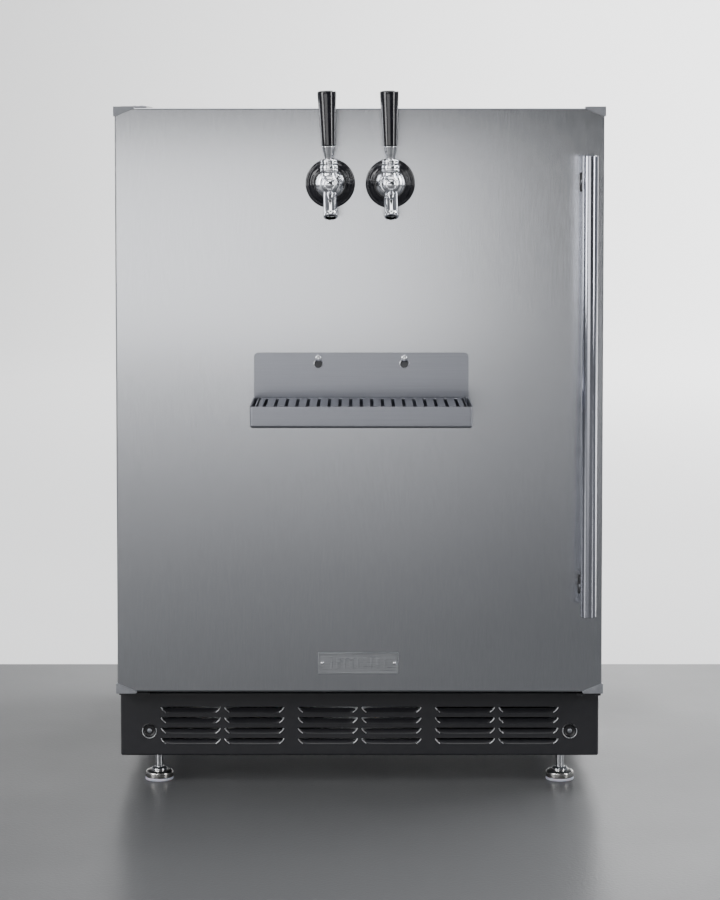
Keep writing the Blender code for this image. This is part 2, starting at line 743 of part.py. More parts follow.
def tap(name, x, lean, materials, door_axis):
    """One faucet: everything is turned about the shank's axis or the lever's."""
    chrome = materials["chrome"]
    seat = empty(f"tap_{name}_seat", Vector((x, DOOR_FRONT, TAP_Z)) - door_axis.location, door_axis, lean)
    pivot = empty(f"tap_{name}_pivot", (0, -PIVOT_REACH, PIVOT_RISE), seat)

    flange = [
        (SHANK_R + 0.0006, GAP),
        (0.0296, GAP),
        (0.0303, 0.0012),
        (0.0296, 0.0028),
        (0.0250, 0.0052),
        (0.0222, 0.0060),
        (0.0216, 0.0074),
        (0.0200, 0.0080),
        (SHANK_R + 0.0006, 0.0080),
    ]
    piece(f"tap_{name}_flange", turned(flange, FINE, FORWARD), materials["black_gloss"], seat)

    bore = 0.004
    shank = [(bore, -0.075), (SHANK_R, -0.075), (SHANK_R, 0.0160), (bore, 0.0160)]
    piece(f"tap_{name}_shank", turned(shank, ROUND, FORWARD), chrome, seat)

    nut = [
        (SHANK_R + GAP, 0.0083),
        (0.0160, 0.0083),
        (0.0172, 0.0095),
        (0.0172, 0.0180),
        (0.0150, 0.0220),
        (0.0120, 0.0235),
        (0.0108, 0.0235),
        (0.0108, 0.0215),
        (0.0125, 0.0212),
        (0.0125, 0.0160),
        (SHANK_R + GAP, 0.0160),
    ]
    coupling = piece(f"tap_{name}_coupling_nut", turned(nut, FINE, FORWARD), chrome, seat)
    notches = []
    for index in range(6):
        notch = rod(0.0022, 0.0150, 0.0220, segments=8)
        around = Matrix.Rotation(math.tau * (index + 0.5) / 6, 4, "Y")
        notch.transform(around @ Matrix.Translation((0, -0.0135, 0)))
        notches.append(notch)
    boolean(coupling, joined(*notches))

    faucet_body(name, chrome, seat)

    rise = PIVOT_RISE
    bonnet = (
        [(0.0082, rise + 0.0048), (0.0100, rise + 0.0048), (0.0109, rise + 0.0055), (0.0109, rise + 0.0112)]
        + [(r, h + rise) for r, h in arc(DOME_R, 41.5, 0, 4)]
        + [(r, h + rise) for r, h in arc(DOME_R - 0.0025, 0, 37.3, 3)]
    )
    bonnet_obj = piece(f"tap_{name}_bonnet", turned(bonnet, ROUND, place=(0, -PIVOT_REACH, 0)), chrome, seat)
    low = (-0.0038, -PIVOT_REACH - 0.0096, rise + 0.002)
    boolean(bonnet_obj, block(low, (0.0038, -PIVOT_REACH + 0.0038, rise + 0.020)))

    pin_tip = arc(0.0020, 180, 100, 2)
    ball = arc(0.0060, 158, 33, 5)
    cup = arc(DOME_R + 0.0004, 11.3, 37, 4)
    lever = (
        [(r, h - 0.0080) for r, h in pin_tip]
        + ball
        + cup
        + [(0.0100, 0.0140), (0.0100, 0.0180), (0.0094, 0.0186), (0.0050, 0.0188), (0.0050, 0.0197)]
        + [(0.0057, 0.0198), (0.0064, 0.0250), (0.0081, 0.0352), (0, 0.0352)]
    )
    lever[0] = (0, lever[0][1])
    piece(f"tap_{name}_lever", turned(lever, 16), chrome, pivot)

    knob = [
        (0, 0.0355),
        (0.0080, 0.0355),
        (0.0088, 0.0363),
        (0.0112, 0.0995),
        (0.0108, 0.1010),
        (0.0095, 0.1019),
        (0, 0.1022),
    ]
    piece(f"tap_{name}_knob", turned(knob, ROUND), materials["black_gloss"], pivot)

    # the plunger: a rod with a seal disc, slotted where the lever's pin reaches into it
    plunger = [
        (0, 0.0262),
        (0.0048, 0.0262),
        (0.0048, 0.0292),
        (0.0024, 0.0296),
        (0.0024, 0.0520),
        (0.0036, 0.0524),
        (0.0036, 0.0700),
        (0, 0.0700),
    ]
    plunger_obj = piece(f"tap_{name}_plunger", turned(plunger, SMALL, FORWARD), chrome, seat)
    gate = block((-0.0045, -PIVOT_REACH - 0.0031, -0.0016), (0.0045, -PIVOT_REACH + 0.0031, 0.010))
    boolean(plunger_obj, gate)


def faucet_body(name, chrome, seat):
    """The barrel with its front boss, the neck under the bonnet and the spout, bored through for the beer."""
    barrel = [
        (0, 0.0163),
        (0.0121, 0.0163),
        (0.0121, 0.0208),
        (0.0104, 0.0212),
        (0.0092, 0.0300),
        (0.0092, 0.0450),
        (0.0110, 0.0530),
        (0.0112, 0.0700),
        (0.0098, 0.0760),
        (0.0078, 0.0780),
        (0.0074, 0.0800),
        (0.0072, 0.0845),
        (0.0060, 0.0855),
        (0, 0.0857),
    ]
    body = piece(f"tap_{name}_faucet_body", turned(barrel, ROUND, FORWARD), chrome, seat)
    neck = turned(
        [(0, -0.004), (0.0100, -0.004), (0.0100, 0.0110), (0.0096, 0.0145), (0, 0.0145)],
        ROUND,
        place=(0, -PIVOT_REACH, 0),
    )
    boolean(body, neck, "UNION")
    tilt = Matrix.Rotation(math.radians(180 - SPOUT_TILT), 4, "X")
    spout_root = (0, -0.0480, 0)
    spout = [
        (0, 0.002),
        (0.0078, 0.002),
        (0.0083, 0.0200),
        (0.0083, 0.0440),
        (0.0078, 0.0448),
        (0, 0.0448),
    ]
    boolean(body, turned(spout, ROUND, tilt, spout_root), "UNION")
    boolean(body, rod(0.0065, 0.006, 0.060, tilt, spout_root, 16))
    boolean(body, rod(0.0053, 0.0150, 0.0765, FORWARD, segments=SMALL))
    boolean(body, rod(0.0066, 0.0005, 0.020, place=(0, -PIVOT_REACH, 0), segments=16))


# ---------------------------------------------------------------- the whole


def build():
    clear_scene()
    black_steel = finish("black_steel", (0.012, 0.012, 0.014), 0.45, 0.2)
    chrome = finish("chrome", (0.72, 0.73, 0.76), 0.12, 1.0)
    white = finish("white_plastic", (0.78, 0.79, 0.80), 0.45)
    foam = finish("foam", (0.75, 0.68, 0.45), 0.9)
    zinc = finish("zinc", (0.42, 0.43, 0.46), 0.40, 1.0)
    materials = {
        "stainless": finish("stainless", (0.45, 0.46, 0.49), 0.34, 1.0),
        "satin_grey": finish("satin_grey", (0.36, 0.37, 0.40), 0.42, 0.8),
        "black_gloss": finish("black_gloss", (0.008, 0.008, 0.012), 0.12),
        "rubber": finish("gasket_rubber", (0.03, 0.03, 0.033), 0.65),
        "white_plastic": white,
        "chrome": chrome,
        "foam": foam,
    }
    black_plastic = finish("black_plastic", (0.02, 0.02, 0.022), 0.55)
    pale_plastic = finish("pale_plastic", (0.62, 0.62, 0.68), 0.5)

    for side in (-1, 1):
        side_panel(side, black_steel)
    top_panel(black_steel)
    back_panel(black_steel)
    base_pan(zinc)
    cabinet_liner(white)
    cabinet_foam(foam)
    keg_floor_plate(materials["stainless"])
    evaporator(white, black_plastic)
    thermostat(white, black_plastic)
    hinges(zinc)
    stop_bracket(zinc)
    kick_grille(black_steel)
    machinery(black_steel, black_steel, black_plastic, black_plastic)
    feet(chrome, pale_plastic)

    door_axis = empty("door_axis", (HINGE_X, HINGE_Y, 0))
    door(materials, door_axis)
    corner_caps(materials["satin_grey"], door_axis)
    handle(chrome, black_plastic, door_axis)
    drip_tray(materials["stainless"], chrome, door_axis)
    for name, (x, lean) in TAPS.items():
        tap(name, x, lean, materials, door_axis)


build()
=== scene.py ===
# %% [markdown]
# # A two-tap kegerator, finished for a studio render
#
# The object is an undercounter refrigerator that holds a keg of beer. Its door carries two faucets, a drip
# tray and a long bar handle. The solids, their sizes and their joints are already settled. This lesson adds
# what the eye looks for: rolled edges, cast curves, brushed steel, chrome, powder coat and the fine
# hardware.
#
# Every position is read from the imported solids, so nothing has to be fitted by eye.

# %% Load the frame
import json
import math

import bmesh
import bpy
from mathutils import Matrix, Vector


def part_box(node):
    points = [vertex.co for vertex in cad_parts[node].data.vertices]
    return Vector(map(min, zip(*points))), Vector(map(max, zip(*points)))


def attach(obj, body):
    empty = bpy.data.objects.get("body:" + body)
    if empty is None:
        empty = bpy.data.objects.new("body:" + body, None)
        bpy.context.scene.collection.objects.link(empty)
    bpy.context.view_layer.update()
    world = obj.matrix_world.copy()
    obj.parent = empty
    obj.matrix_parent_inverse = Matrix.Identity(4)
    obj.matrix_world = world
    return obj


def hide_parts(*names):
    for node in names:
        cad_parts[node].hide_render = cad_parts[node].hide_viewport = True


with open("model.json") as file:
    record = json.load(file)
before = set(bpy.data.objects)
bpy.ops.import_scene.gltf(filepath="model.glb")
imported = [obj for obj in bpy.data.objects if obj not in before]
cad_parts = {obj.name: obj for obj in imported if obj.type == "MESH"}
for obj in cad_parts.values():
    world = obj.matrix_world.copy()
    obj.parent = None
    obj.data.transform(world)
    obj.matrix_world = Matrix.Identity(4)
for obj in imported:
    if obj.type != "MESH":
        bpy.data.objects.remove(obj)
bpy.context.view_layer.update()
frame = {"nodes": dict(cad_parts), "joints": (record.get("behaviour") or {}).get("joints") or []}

scene = bpy.context.scene
joints = {joint["name"]: joint for joint in frame["joints"]}

# %% [markdown]
# ## The camera
#
# A kegerator is tall and flat-fronted, so a catalogue view looks at it straight on from about counter
# height with a long lens: the uprights stay nearly parallel and the tray shows a little of its top. A small
# downward tilt together with a modest lens shift puts the whole cabinet in the frame without moving the
# eye.

# %% Place the camera
door_low, door_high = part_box("door_skin")
EYE_DISTANCE = 3.145
EYE_HEIGHT = 0.802
TILT_DOWN = 3.3
FOCAL_LENGTH = 102.6

lens = bpy.data.cameras.new("studio_camera")
lens.sensor_width = 36
lens.lens = FOCAL_LENGTH
lens.shift_y = -0.172
lens.clip_end = 60
camera = bpy.data.objects.new("studio_camera", lens)
scene.collection.objects.link(camera)
camera.location = (0.0005, door_low.y - EYE_DISTANCE, EYE_HEIGHT)
camera.rotation_euler = (math.radians(90 - TILT_DOWN), 0, 0)
scene.camera = camera
print("the lens stands", EYE_DISTANCE, "m in front of the door")

# %% [markdown]
# ## Shapes from code
#
# Almost every part here is one of four things: turned on a lathe, cut from a plate, bent from a tube or
# folded from a sheet. A small helper for each keeps the later cells short. They all work on a bmesh,
# Blender's editable mesh, and only the last step makes an object of it.
#
# Real edges are never razor sharp: even 0.3 mm of rounding catches a line of light. So the first helper
# rounds the corners of any line of points, and the others use it.

# %% Rounding and turning
def rounded(points, reach, closed=False, steps=3):
    """The same line with its corners turned into short curves. Works in two or three dimensions."""
    points = [Vector(point) for point in points]
    count = len(points)
    line = []
    for index, corner in enumerate(points):
        if not closed and index in (0, count - 1):
            line.append(corner)
            continue
        back = points[index - 1] - corner
        ahead = points[(index + 1) % count] - corner
        room = min(reach, 0.45 * back.length, 0.45 * ahead.length)
        start = corner + back.normalized() * room
        end = corner + ahead.normalized() * room
        for step in range(steps + 1):
            t = step / steps
            line.append(start * (1 - t) ** 2 + corner * 2 * t * (1 - t) + end * t ** 2)
    return line


def turned(profile, rounding=0.0004, sides=48, place=Matrix()):
    """A (radius, height) profile turned about +Z: a solid if it starts on the axis, otherwise a ring."""
    ring = profile[0][0] > 0
    shape = bmesh.new()
    points = [shape.verts.new((radius, 0, height)) for radius, height in rounded(profile, rounding, ring)]
    pairs = list(zip(points, points[1:]))
    if ring:
        pairs.append((points[-1], points[0]))
    edges = [shape.edges.new(pair) for pair in pairs]
    bmesh.ops.spin(shape, geom=points + edges, axis=(0, 0, 1), angle=math.tau, steps=sides, use_merge=True)
    bmesh.ops.remove_doubles(shape, verts=shape.verts, dist=1e-7)
    bmesh.ops.recalc_face_normals(shape, faces=shape.faces)
    shape.transform(place)
    return shape


def cylinder(radius, start, end, place=Matrix(), sides=32, rounding=0.0003):
    return turned([(0, start), (radius, start), (radius, end), (0, end)], rounding, sides, place)


FORWARD = Matrix.Rotation(math.radians(90), 4, "X")  # lays +Z along -Y, out of the door
print("a rounded square has", len(rounded([(0, 0), (1, 0), (1, 1), (0, 1)], 0.1, True)), "points")

# %% [markdown]
# A plain block, several bodies held as one mesh, and an outline drawn along an axis cover the castings,
# brackets and cutting tools. Bevelling all sharp edges at the end is quicker than drawing the round corners
# by hand.

# %% Blocks, joined shapes and outlines
def block(low, high, rounding=0.0, segments=2):
    """A block between two corners, with its edges rounded."""
    low, high = Vector(low), Vector(high)
    shape = bmesh.new()
    size = Matrix.Diagonal((*(high - low), 1))
    bmesh.ops.create_cube(shape, size=1, matrix=Matrix.Translation((low + high) / 2) @ size)
    if rounding:
        bmesh.ops.bevel(
            shape, geom=shape.edges[:], offset=rounding, segments=segments, profile=0.5, affect="EDGES"
        )
    return shape


def joined(*shapes):
    """Several shapes as one. The parts stay separate closed bodies."""
    whole = bmesh.new()
    for shape in shapes:
        mesh = bpy.data.meshes.new("part")
        shape.to_mesh(mesh)
        shape.free()
        whole.from_mesh(mesh)
        bpy.data.meshes.remove(mesh)
    return whole


def moved(shape, x=0.0, y=0.0, z=0.0):
    shape.transform(Matrix.Translation((x, y, z)))
    return shape


def extruded(outline, axis, start, end, rounding=0.0):
    """A flat outline, given in the two directions left over, drawn along one axis."""
    along = "XYZ".index(axis)
    shape = bmesh.new()
    corners = []
    for a, b in outline:
        point = [a, b]
        point.insert(along, start)
        corners.append(shape.verts.new(point))
    grown = bmesh.ops.extrude_face_region(shape, geom=[shape.faces.new(corners)])
    step = Vector([end - start if index == along else 0 for index in range(3)])
    far_side = [item for item in grown["geom"] if isinstance(item, bmesh.types.BMVert)]
    bmesh.ops.translate(shape, verts=far_side, vec=step)
    bmesh.ops.recalc_face_normals(shape, faces=shape.faces)
    if rounding:
        sharp = [edge for edge in shape.edges if edge.calc_face_angle(0) > 0.5]
        bmesh.ops.bevel(shape, geom=sharp, offset=rounding, segments=2, profile=0.5, affect="EDGES")
    return shape


print("a rounded block has", len(block((0, 0, 0), (1, 1, 1), 0.1).faces), "faces")

# %% [markdown]
# Some operations are easiest as modifiers: cutting with a boolean, giving a sheet its thickness, or melting
# several bodies into one casting. `through` sends a shape through such a stack and hands back plain
# geometry, so no helper objects are left behind in the scene.

# %% Modifiers as functions
def through(shape, *stack):
    """Runs a shape through modifiers, given as (type, settings), and returns the result as a shape."""
    mesh = bpy.data.meshes.new("draft")
    shape.to_mesh(mesh)
    shape.free()
    draft = bpy.data.objects.new("draft", mesh)
    scene.collection.objects.link(draft)
    for kind, settings in stack:
        modifier = draft.modifiers.new(kind.title(), kind)
        for name, value in settings.items():
            setattr(modifier, name, value)
    result = bmesh.new()
    result.from_object(draft, bpy.context.evaluated_depsgraph_get())
    bpy.data.objects.remove(draft)
    bpy.data.meshes.remove(mesh)
    return result


def cut(shape, tool, operation="DIFFERENCE"):
    """Takes the tool's volume away from a shape, or adds it."""
    mesh = bpy.data.meshes.new("tool")
    tool.to_mesh(mesh)
    tool.free()
    cutter = bpy.data.objects.new("tool", mesh)
    scene.collection.objects.link(cutter)
    result = through(shape, ("BOOLEAN", {"operation": operation, "solver": "EXACT", "object": cutter}))
    bpy.data.objects.remove(cutter)
    bpy.data.meshes.remove(mesh)
    return result


def thickened(shape, thickness):
    """A surface given the thickness of a sheet, on the inner side."""
    return through(shape, ("SOLIDIFY", {"thickness": thickness, "offset": -1, "use_even_offset": True}))


def cast(shape, grain_size, passes):
    """Overlapping bodies melted into one skin, with soft fillets where they meet, as a casting has."""
    return through(
        shape,
        ("REMESH", {"mode": "VOXEL", "voxel_size": grain_size, "use_smooth_shade": True}),
        ("SMOOTH", {"factor": 0.5, "iterations": passes}),
    )


print("modifiers run as functions: boolean, solidify, voxel remesh, smooth")

# %% [markdown]
# Blender's curves make two things that are tedious in mesh code. A line with a round bevel is a tube, and a
# filled flat outline with more outlines inside it is a plate with holes, already softened along every rim.

# %% Plates and pipes
def from_curve(curve):
    """The mesh of a curve, as a shape."""
    holder = bpy.data.objects.new("line", curve)
    scene.collection.objects.link(holder)
    mesh = bpy.data.meshes.new_from_object(holder.evaluated_get(bpy.context.evaluated_depsgraph_get()))
    bpy.data.objects.remove(holder)
    shape = bmesh.new()
    shape.from_mesh(mesh)
    bpy.data.meshes.remove(mesh)
    bpy.data.curves.remove(curve)
    bmesh.ops.remove_doubles(shape, verts=shape.verts, dist=1e-6)
    return shape


def pipe(points, radius, bend=0.0, closed=False):
    """A round tube along a line of points, with bends of that reach at its corners."""
    line = rounded(points, bend, closed, 6) if bend else [Vector(point) for point in points]
    curve = bpy.data.curves.new("run", "CURVE")
    curve.dimensions = "3D"
    spline = curve.splines.new("POLY")
    spline.points.add(len(line) - 1)
    for point, place in zip(spline.points, line):
        point.co = (*place, 1)
    spline.use_cyclic_u = closed
    curve.bevel_depth = radius
    curve.bevel_resolution = 3
    curve.use_fill_caps = True
    return from_curve(curve)


def plate(outer, holes, thickness, edge=0.0002, place=Matrix()):
    """A flat plate with holes, lying in the XY plane about z = 0, with softened edges."""
    curve = bpy.data.curves.new("outline", "CURVE")
    curve.dimensions = "2D"
    curve.fill_mode = "BOTH"
    for line in [outer, *holes]:
        spline = curve.splines.new("POLY")
        spline.points.add(len(line) - 1)
        for point, (x, y) in zip(spline.points, line):
            point.co = (x, y, 0, 1)
        spline.use_cyclic_u = True
    curve.extrude = thickness / 2 - edge
    curve.bevel_depth = edge
    curve.bevel_resolution = 1
    curve.offset = -edge
    shape = from_curve(curve)
    shape.transform(place)
    return shape


def circle(radius, sides=32, x=0.0, y=0.0):
    turns = [math.tau * index / sides for index in range(sides)]
    return [(x + radius * math.cos(turn), y + radius * math.sin(turn)) for turn in turns]


def rectangle(x0, y0, x1, y1, corner=0.0, steps=4):
    points = [(x0, y0), (x1, y0), (x1, y1), (x0, y1)]
    return rounded(points, corner, True, steps) if corner else points


def border(section, half_x, low_z, high_z):
    """A closed (inset, y) section run round a rectangle in the XZ plane, mitred at its corners."""
    shape = bmesh.new()
    loops = []
    for side, z_from, z_sign in ((-1, low_z, 1), (1, low_z, 1), (1, high_z, -1), (-1, high_z, -1)):
        loops.append(
            [shape.verts.new((side * (half_x - inset), y, z_from + z_sign * inset)) for inset, y in section]
        )
    for index, loop in enumerate(loops):
        other = loops[(index + 1) % 4]
        for a in range(len(section)):
            b = (a + 1) % len(section)
            shape.faces.new((loop[a], loop[b], other[b], other[a]))
    bmesh.ops.recalc_face_normals(shape, faces=shape.faces)
    return shape


print("a short pipe has", len(pipe([(0, 0, 0), (0, 0, 1)], 0.1).verts), "points")

# %% [markdown]
# ## Finishes
#
# No surface on a real appliance is one flat colour. Brushed steel has hairlines, powder coat has a faint
# orange peel, moulded plastic has a grain and chrome has wipe marks. Each finish below starts from a
# Principled shader and adds noise read in the piece's own coordinates, so that it stays put when the piece
# moves.
#
# The helpers wire the few nodes that repeat: a noise that can be stretched along one direction, a range
# that turns it into roughness or colour, and a bump.

# %% A new finish and its nodes
finishes = {}


def new_finish(name, colour, roughness, metallic=0.0, **sockets):
    material = bpy.data.materials.new(name)
    material.use_nodes = True
    shader = material.node_tree.nodes["Principled BSDF"]
    shader.inputs["Base Color"].default_value = (*colour, 1)
    shader.inputs["Roughness"].default_value = roughness
    shader.inputs["Metallic"].default_value = metallic
    for socket, value in sockets.items():
        shader.inputs[socket.replace("_", " ")].default_value = value
    finishes[name] = material
    return material


def node(material, kind, **settings):
    made = material.node_tree.nodes.new("ShaderNode" + kind)
    for name, value in settings.items():
        setattr(made, name, value)
    return made


def wire(material, source, target):
    material.node_tree.links.new(source, target)


# %% [markdown]
# `grain` is the noise itself, `vary` feeds it to roughness and colour, and `emboss` feeds it to a bump. The
# shader's other sockets stay plain numbers, because they are the same all over a surface.

# %% Grain, variation and relief
def grain(material, stretch, detail=2.0, kind="TexNoise"):
    """A grey pattern fixed to the piece. stretch is how many cells there are in a metre along x, y and z."""
    place = node(material, "TexCoord")
    mapping = node(material, "Mapping")
    mapping.inputs["Scale"].default_value = stretch
    texture = node(material, kind)
    texture.inputs["Scale"].default_value = 1
    texture.inputs["Detail"].default_value = detail
    wire(material, place.outputs["Object"], mapping.inputs["Vector"])
    wire(material, mapping.outputs["Vector"], texture.inputs["Vector"])
    return texture.outputs[0]


def to_range(material, value, low, high):
    """A noise value spread from low to high."""
    spread = node(material, "MapRange")
    spread.inputs["From Min"].default_value = 0.3
    spread.inputs["From Max"].default_value = 0.7
    spread.inputs["To Min"].default_value = low
    spread.inputs["To Max"].default_value = high
    wire(material, value, spread.inputs["Value"])
    return spread.outputs["Result"]


def vary(material, value, roughness=None, colours=None):
    """Lets a noise vary the roughness, the colour or both."""
    shader = material.node_tree.nodes["Principled BSDF"]
    if roughness:
        wire(material, to_range(material, value, *roughness), shader.inputs["Roughness"])
    if colours:
        mix = node(material, "Mix", data_type="RGBA")
        for socket, colour in zip([s for s in mix.inputs if s.type == "RGBA"], colours):
            socket.default_value = (*colour, 1)
        wire(material, to_range(material, value, 0, 1), mix.inputs["Factor"])
        result = [s for s in mix.outputs if s.type == "RGBA"][0]
        wire(material, result, shader.inputs["Base Color"])


def emboss(material, value, depth):
    """Raises the surface by a noise, in metres."""
    shader = material.node_tree.nodes["Principled BSDF"]
    bump = node(material, "Bump")
    bump.inputs["Strength"].default_value = 1.0
    bump.inputs["Distance"].default_value = depth
    wire(material, value, bump.inputs["Height"])
    wire(material, bump.outputs["Normal"], shader.inputs["Normal"])


print("finish helpers are ready;", len(finishes), "finishes so far")

# %% [markdown]
# ### Brushed stainless steel
#
# The door is rolled sheet that was dragged under an abrasive belt, top to bottom. Up close it is thousands
# of parallel scratches. They spread a reflection sideways but hardly up and down, which is what the
# anisotropic setting does; the noise adds the visible hairlines. The tray's sheet is brushed the other way
# and a little finer.

# %% Steel finishes
steel = new_finish("stainless", (0.56, 0.57, 0.60), 0.17, 1.0, Anisotropic=0.7)
vary(steel, grain(steel, (1300, 1300, 55), 3), (0.155, 0.180), ((0.53, 0.54, 0.565), (0.59, 0.60, 0.625)))
emboss(steel, grain(steel, (2600, 2600, 60), 2), 0.000004)

tray_metal = new_finish("tray_steel", (0.37, 0.38, 0.42), 0.32, 1.0, Anisotropic=0.4)
vary(tray_metal, grain(tray_metal, (8, 700, 700), 3), (0.28, 0.36), ((0.35, 0.36, 0.40), (0.39, 0.40, 0.44)))
emboss(tray_metal, grain(tray_metal, (14, 2400, 2400), 2), 0.00001)

badge_metal = new_finish("badge", (0.44, 0.45, 0.47), 0.33, 1.0)
vary(
    badge_metal,
    grain(badge_metal, (30, 1500, 1500), 3),
    (0.26, 0.40),
    ((0.38, 0.39, 0.41), (0.50, 0.51, 0.53)),
)
emboss(badge_metal, grain(badge_metal, (60, 3000, 3000), 2), 0.000008)
print("steel finishes:", list(finishes))

# %% [markdown]
# ### Plated metal
#
# Chrome mirrors the studio; a little uneven roughness stands for wipe marks. The handle's noise is
# stretched along its length, as a polishing wheel leaves it. Zinc plate breaks into pale crystals, which a
# Voronoi pattern gives. Copper lines are dull and blotched by handling.

# %% Plated and bare metals
chrome = new_finish("chrome", (0.74, 0.75, 0.78), 0.07, 1.0)
vary(chrome, grain(chrome, (45, 45, 160), 4), (0.035, 0.12), ((0.70, 0.71, 0.74), (0.79, 0.80, 0.82)))

polished = new_finish("polished_bar", (0.47, 0.48, 0.53), 0.11, 1.0)
vary(polished, grain(polished, (420, 420, 9), 3), (0.08, 0.14), ((0.43, 0.44, 0.49), (0.51, 0.52, 0.57)))

nickel = new_finish("nickel", (0.54, 0.53, 0.50), 0.22, 1.0)
vary(nickel, grain(nickel, (40, 40, 700), 3), (0.17, 0.28), ((0.50, 0.49, 0.46), (0.58, 0.57, 0.55)))

zinc = new_finish("zinc", (0.30, 0.31, 0.34), 0.38, 1.0)
vary(
    zinc,
    grain(zinc, (260, 260, 260), 1, "TexVoronoi"),
    (0.30, 0.48),
    ((0.24, 0.25, 0.28), (0.38, 0.39, 0.42)),
)
emboss(zinc, grain(zinc, (900, 900, 900), 2), 0.00002)

fins = new_finish("fins", (0.62, 0.63, 0.65), 0.32, 0.95)
vary(fins, grain(fins, (300, 60, 20), 4), (0.24, 0.44), ((0.50, 0.51, 0.53), (0.70, 0.71, 0.73)))
emboss(fins, grain(fins, (900, 200, 60), 2), 0.00003)

copper = new_finish("copper", (0.60, 0.29, 0.16), 0.26, 1.0)
vary(copper, grain(copper, (110, 110, 110), 4), (0.18, 0.42), ((0.40, 0.18, 0.09), (0.68, 0.36, 0.22)))
print("plated and bare:", list(finishes)[3:])

# %% [markdown]
# ### Paint, lacquer and powder coat
#
# The knobs are lacquered, which is a dark base under a clear coat. The cast caps have a satin spray. Powder
# coat is baked on dry and keeps a faint orange peel, less than a millimetre from crest to crest.

# %% Painted finishes
lacquer = new_finish(
    "black_gloss", (0.003, 0.003, 0.006), 0.2, Coat_Weight=0.8, Coat_Roughness=0.05, Specular_IOR_Level=0.25
)
vary(lacquer, grain(lacquer, (70, 70, 70), 4), (0.14, 0.30), ((0.003, 0.003, 0.005), (0.008, 0.008, 0.013)))
emboss(lacquer, grain(lacquer, (500, 500, 500), 1), 0.000004)

satin = new_finish("satin_grey", (0.24, 0.25, 0.27), 0.45, 0.3)
vary(satin, grain(satin, (160, 160, 160), 4), (0.34, 0.50), ((0.215, 0.22, 0.24), (0.27, 0.28, 0.30)))
emboss(satin, grain(satin, (2200, 2200, 2200), 2), 0.00002)

powder = new_finish("black_steel", (0.012, 0.012, 0.015), 0.45, Coat_Weight=0.4, Coat_Roughness=0.16)
vary(
    powder,
    grain(powder, (140, 140, 140), 3),
    (0.42, 0.49),
    ((0.0115, 0.0115, 0.0145), (0.0145, 0.0145, 0.0175)),
)
emboss(powder, grain(powder, (1500, 1500, 1500), 1), 0.00004)

enamel = new_finish("enamel", (0.010, 0.010, 0.011), 0.25, Coat_Weight=0.4, Coat_Roughness=0.15)
vary(enamel, grain(enamel, (50, 50, 50), 4), (0.20, 0.38), ((0.008, 0.008, 0.009), (0.018, 0.018, 0.019)))
emboss(enamel, grain(enamel, (600, 600, 600), 1), 0.00003)
print("painted:", list(finishes)[-4:])

# %% [markdown]
# ### Plastic, rubber and foam
#
# Moulded plastics take the fine grain of their mould, so they get a bump much smaller than a millimetre.
# Rubber is duller and has a little sheen. Foam is nearly all cells, and a Voronoi pattern gives it those.

# %% Moulded finishes
white = new_finish("white_plastic", (0.76, 0.77, 0.78), 0.38, Coat_Weight=0.15, Coat_Roughness=0.2)
vary(white, grain(white, (7, 7, 7), 3), (0.33, 0.43), ((0.72, 0.73, 0.74), (0.80, 0.81, 0.82)))
emboss(white, grain(white, (1200, 1200, 1200), 2), 0.00003)

pale = new_finish("pale_plastic", (0.56, 0.56, 0.66), 0.35, Subsurface_Weight=0.15, Subsurface_Scale=0.003)
vary(pale, grain(pale, (120, 120, 300), 3), (0.28, 0.46), ((0.50, 0.50, 0.60), (0.62, 0.62, 0.71)))
emboss(pale, grain(pale, (900, 900, 900), 2), 0.00002)

plastic = new_finish("black_plastic", (0.016, 0.016, 0.018), 0.45)
vary(plastic, grain(plastic, (60, 60, 60), 3), (0.38, 0.55), ((0.012, 0.012, 0.014), (0.022, 0.022, 0.025)))
emboss(plastic, grain(plastic, (1800, 1800, 1800), 1, "TexVoronoi"), 0.00004)

rubber = new_finish("gasket_rubber", (0.045, 0.046, 0.050), 0.62, Sheen_Weight=0.1)
vary(rubber, grain(rubber, (35, 35, 35), 4), (0.52, 0.72), ((0.034, 0.035, 0.038), (0.062, 0.063, 0.067)))
emboss(rubber, grain(rubber, (1400, 1400, 1400), 2), 0.00003)

foam = new_finish("foam", (0.66, 0.58, 0.36), 0.9, Subsurface_Weight=0.1, Subsurface_Scale=0.004)
vary(foam, grain(foam, (30, 30, 30), 5), (0.8, 0.95), ((0.55, 0.47, 0.27), (0.74, 0.66, 0.43)))
emboss(foam, grain(foam, (420, 420, 420), 2, "TexVoronoi"), 0.0006)

lens_plastic = new_finish("lamp_lens", (0.80, 0.80, 0.76), 0.22, Transmission_Weight=0.3)
vary(
    lens_plastic,
    grain(lens_plastic, (500, 40, 40), 1),
    (0.16, 0.34),
    ((0.74, 0.74, 0.70), (0.86, 0.86, 0.82)),
)
emboss(lens_plastic, grain(lens_plastic, (700, 30, 30), 1), 0.00006)
print(len(finishes), "finishes")


# %% [markdown]
# ## From shape to piece
#
# `piece` is the one place where a shape becomes an object: it smooths the shading up to a given crease,
# assigns the finish, rides the piece on its body and hides the solids it stands for. The solids that
# already have the right shape only get their finish here.

# %% Make pieces, and finish the solids that stay
def piece(name, shape, finish, body, stands_for=(), place=Matrix(), crease=38):
    bmesh.ops.recalc_face_normals(shape, faces=shape.faces)
    mesh = bpy.data.meshes.new(name)
    shape.to_mesh(mesh)
    shape.free()
    mesh.shade_smooth()
    mesh.set_sharp_from_angle(angle=math.radians(crease))
    mesh.materials.append(finishes[finish])
    obj = bpy.data.objects.new(name, mesh)
    scene.collection.objects.link(obj)
    obj.modifiers.new("even_shading", "WEIGHTED_NORMAL").keep_sharp = True
    obj.matrix_world = place
    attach(obj, body)
    if stands_for:
        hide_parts(*stands_for)
    return obj


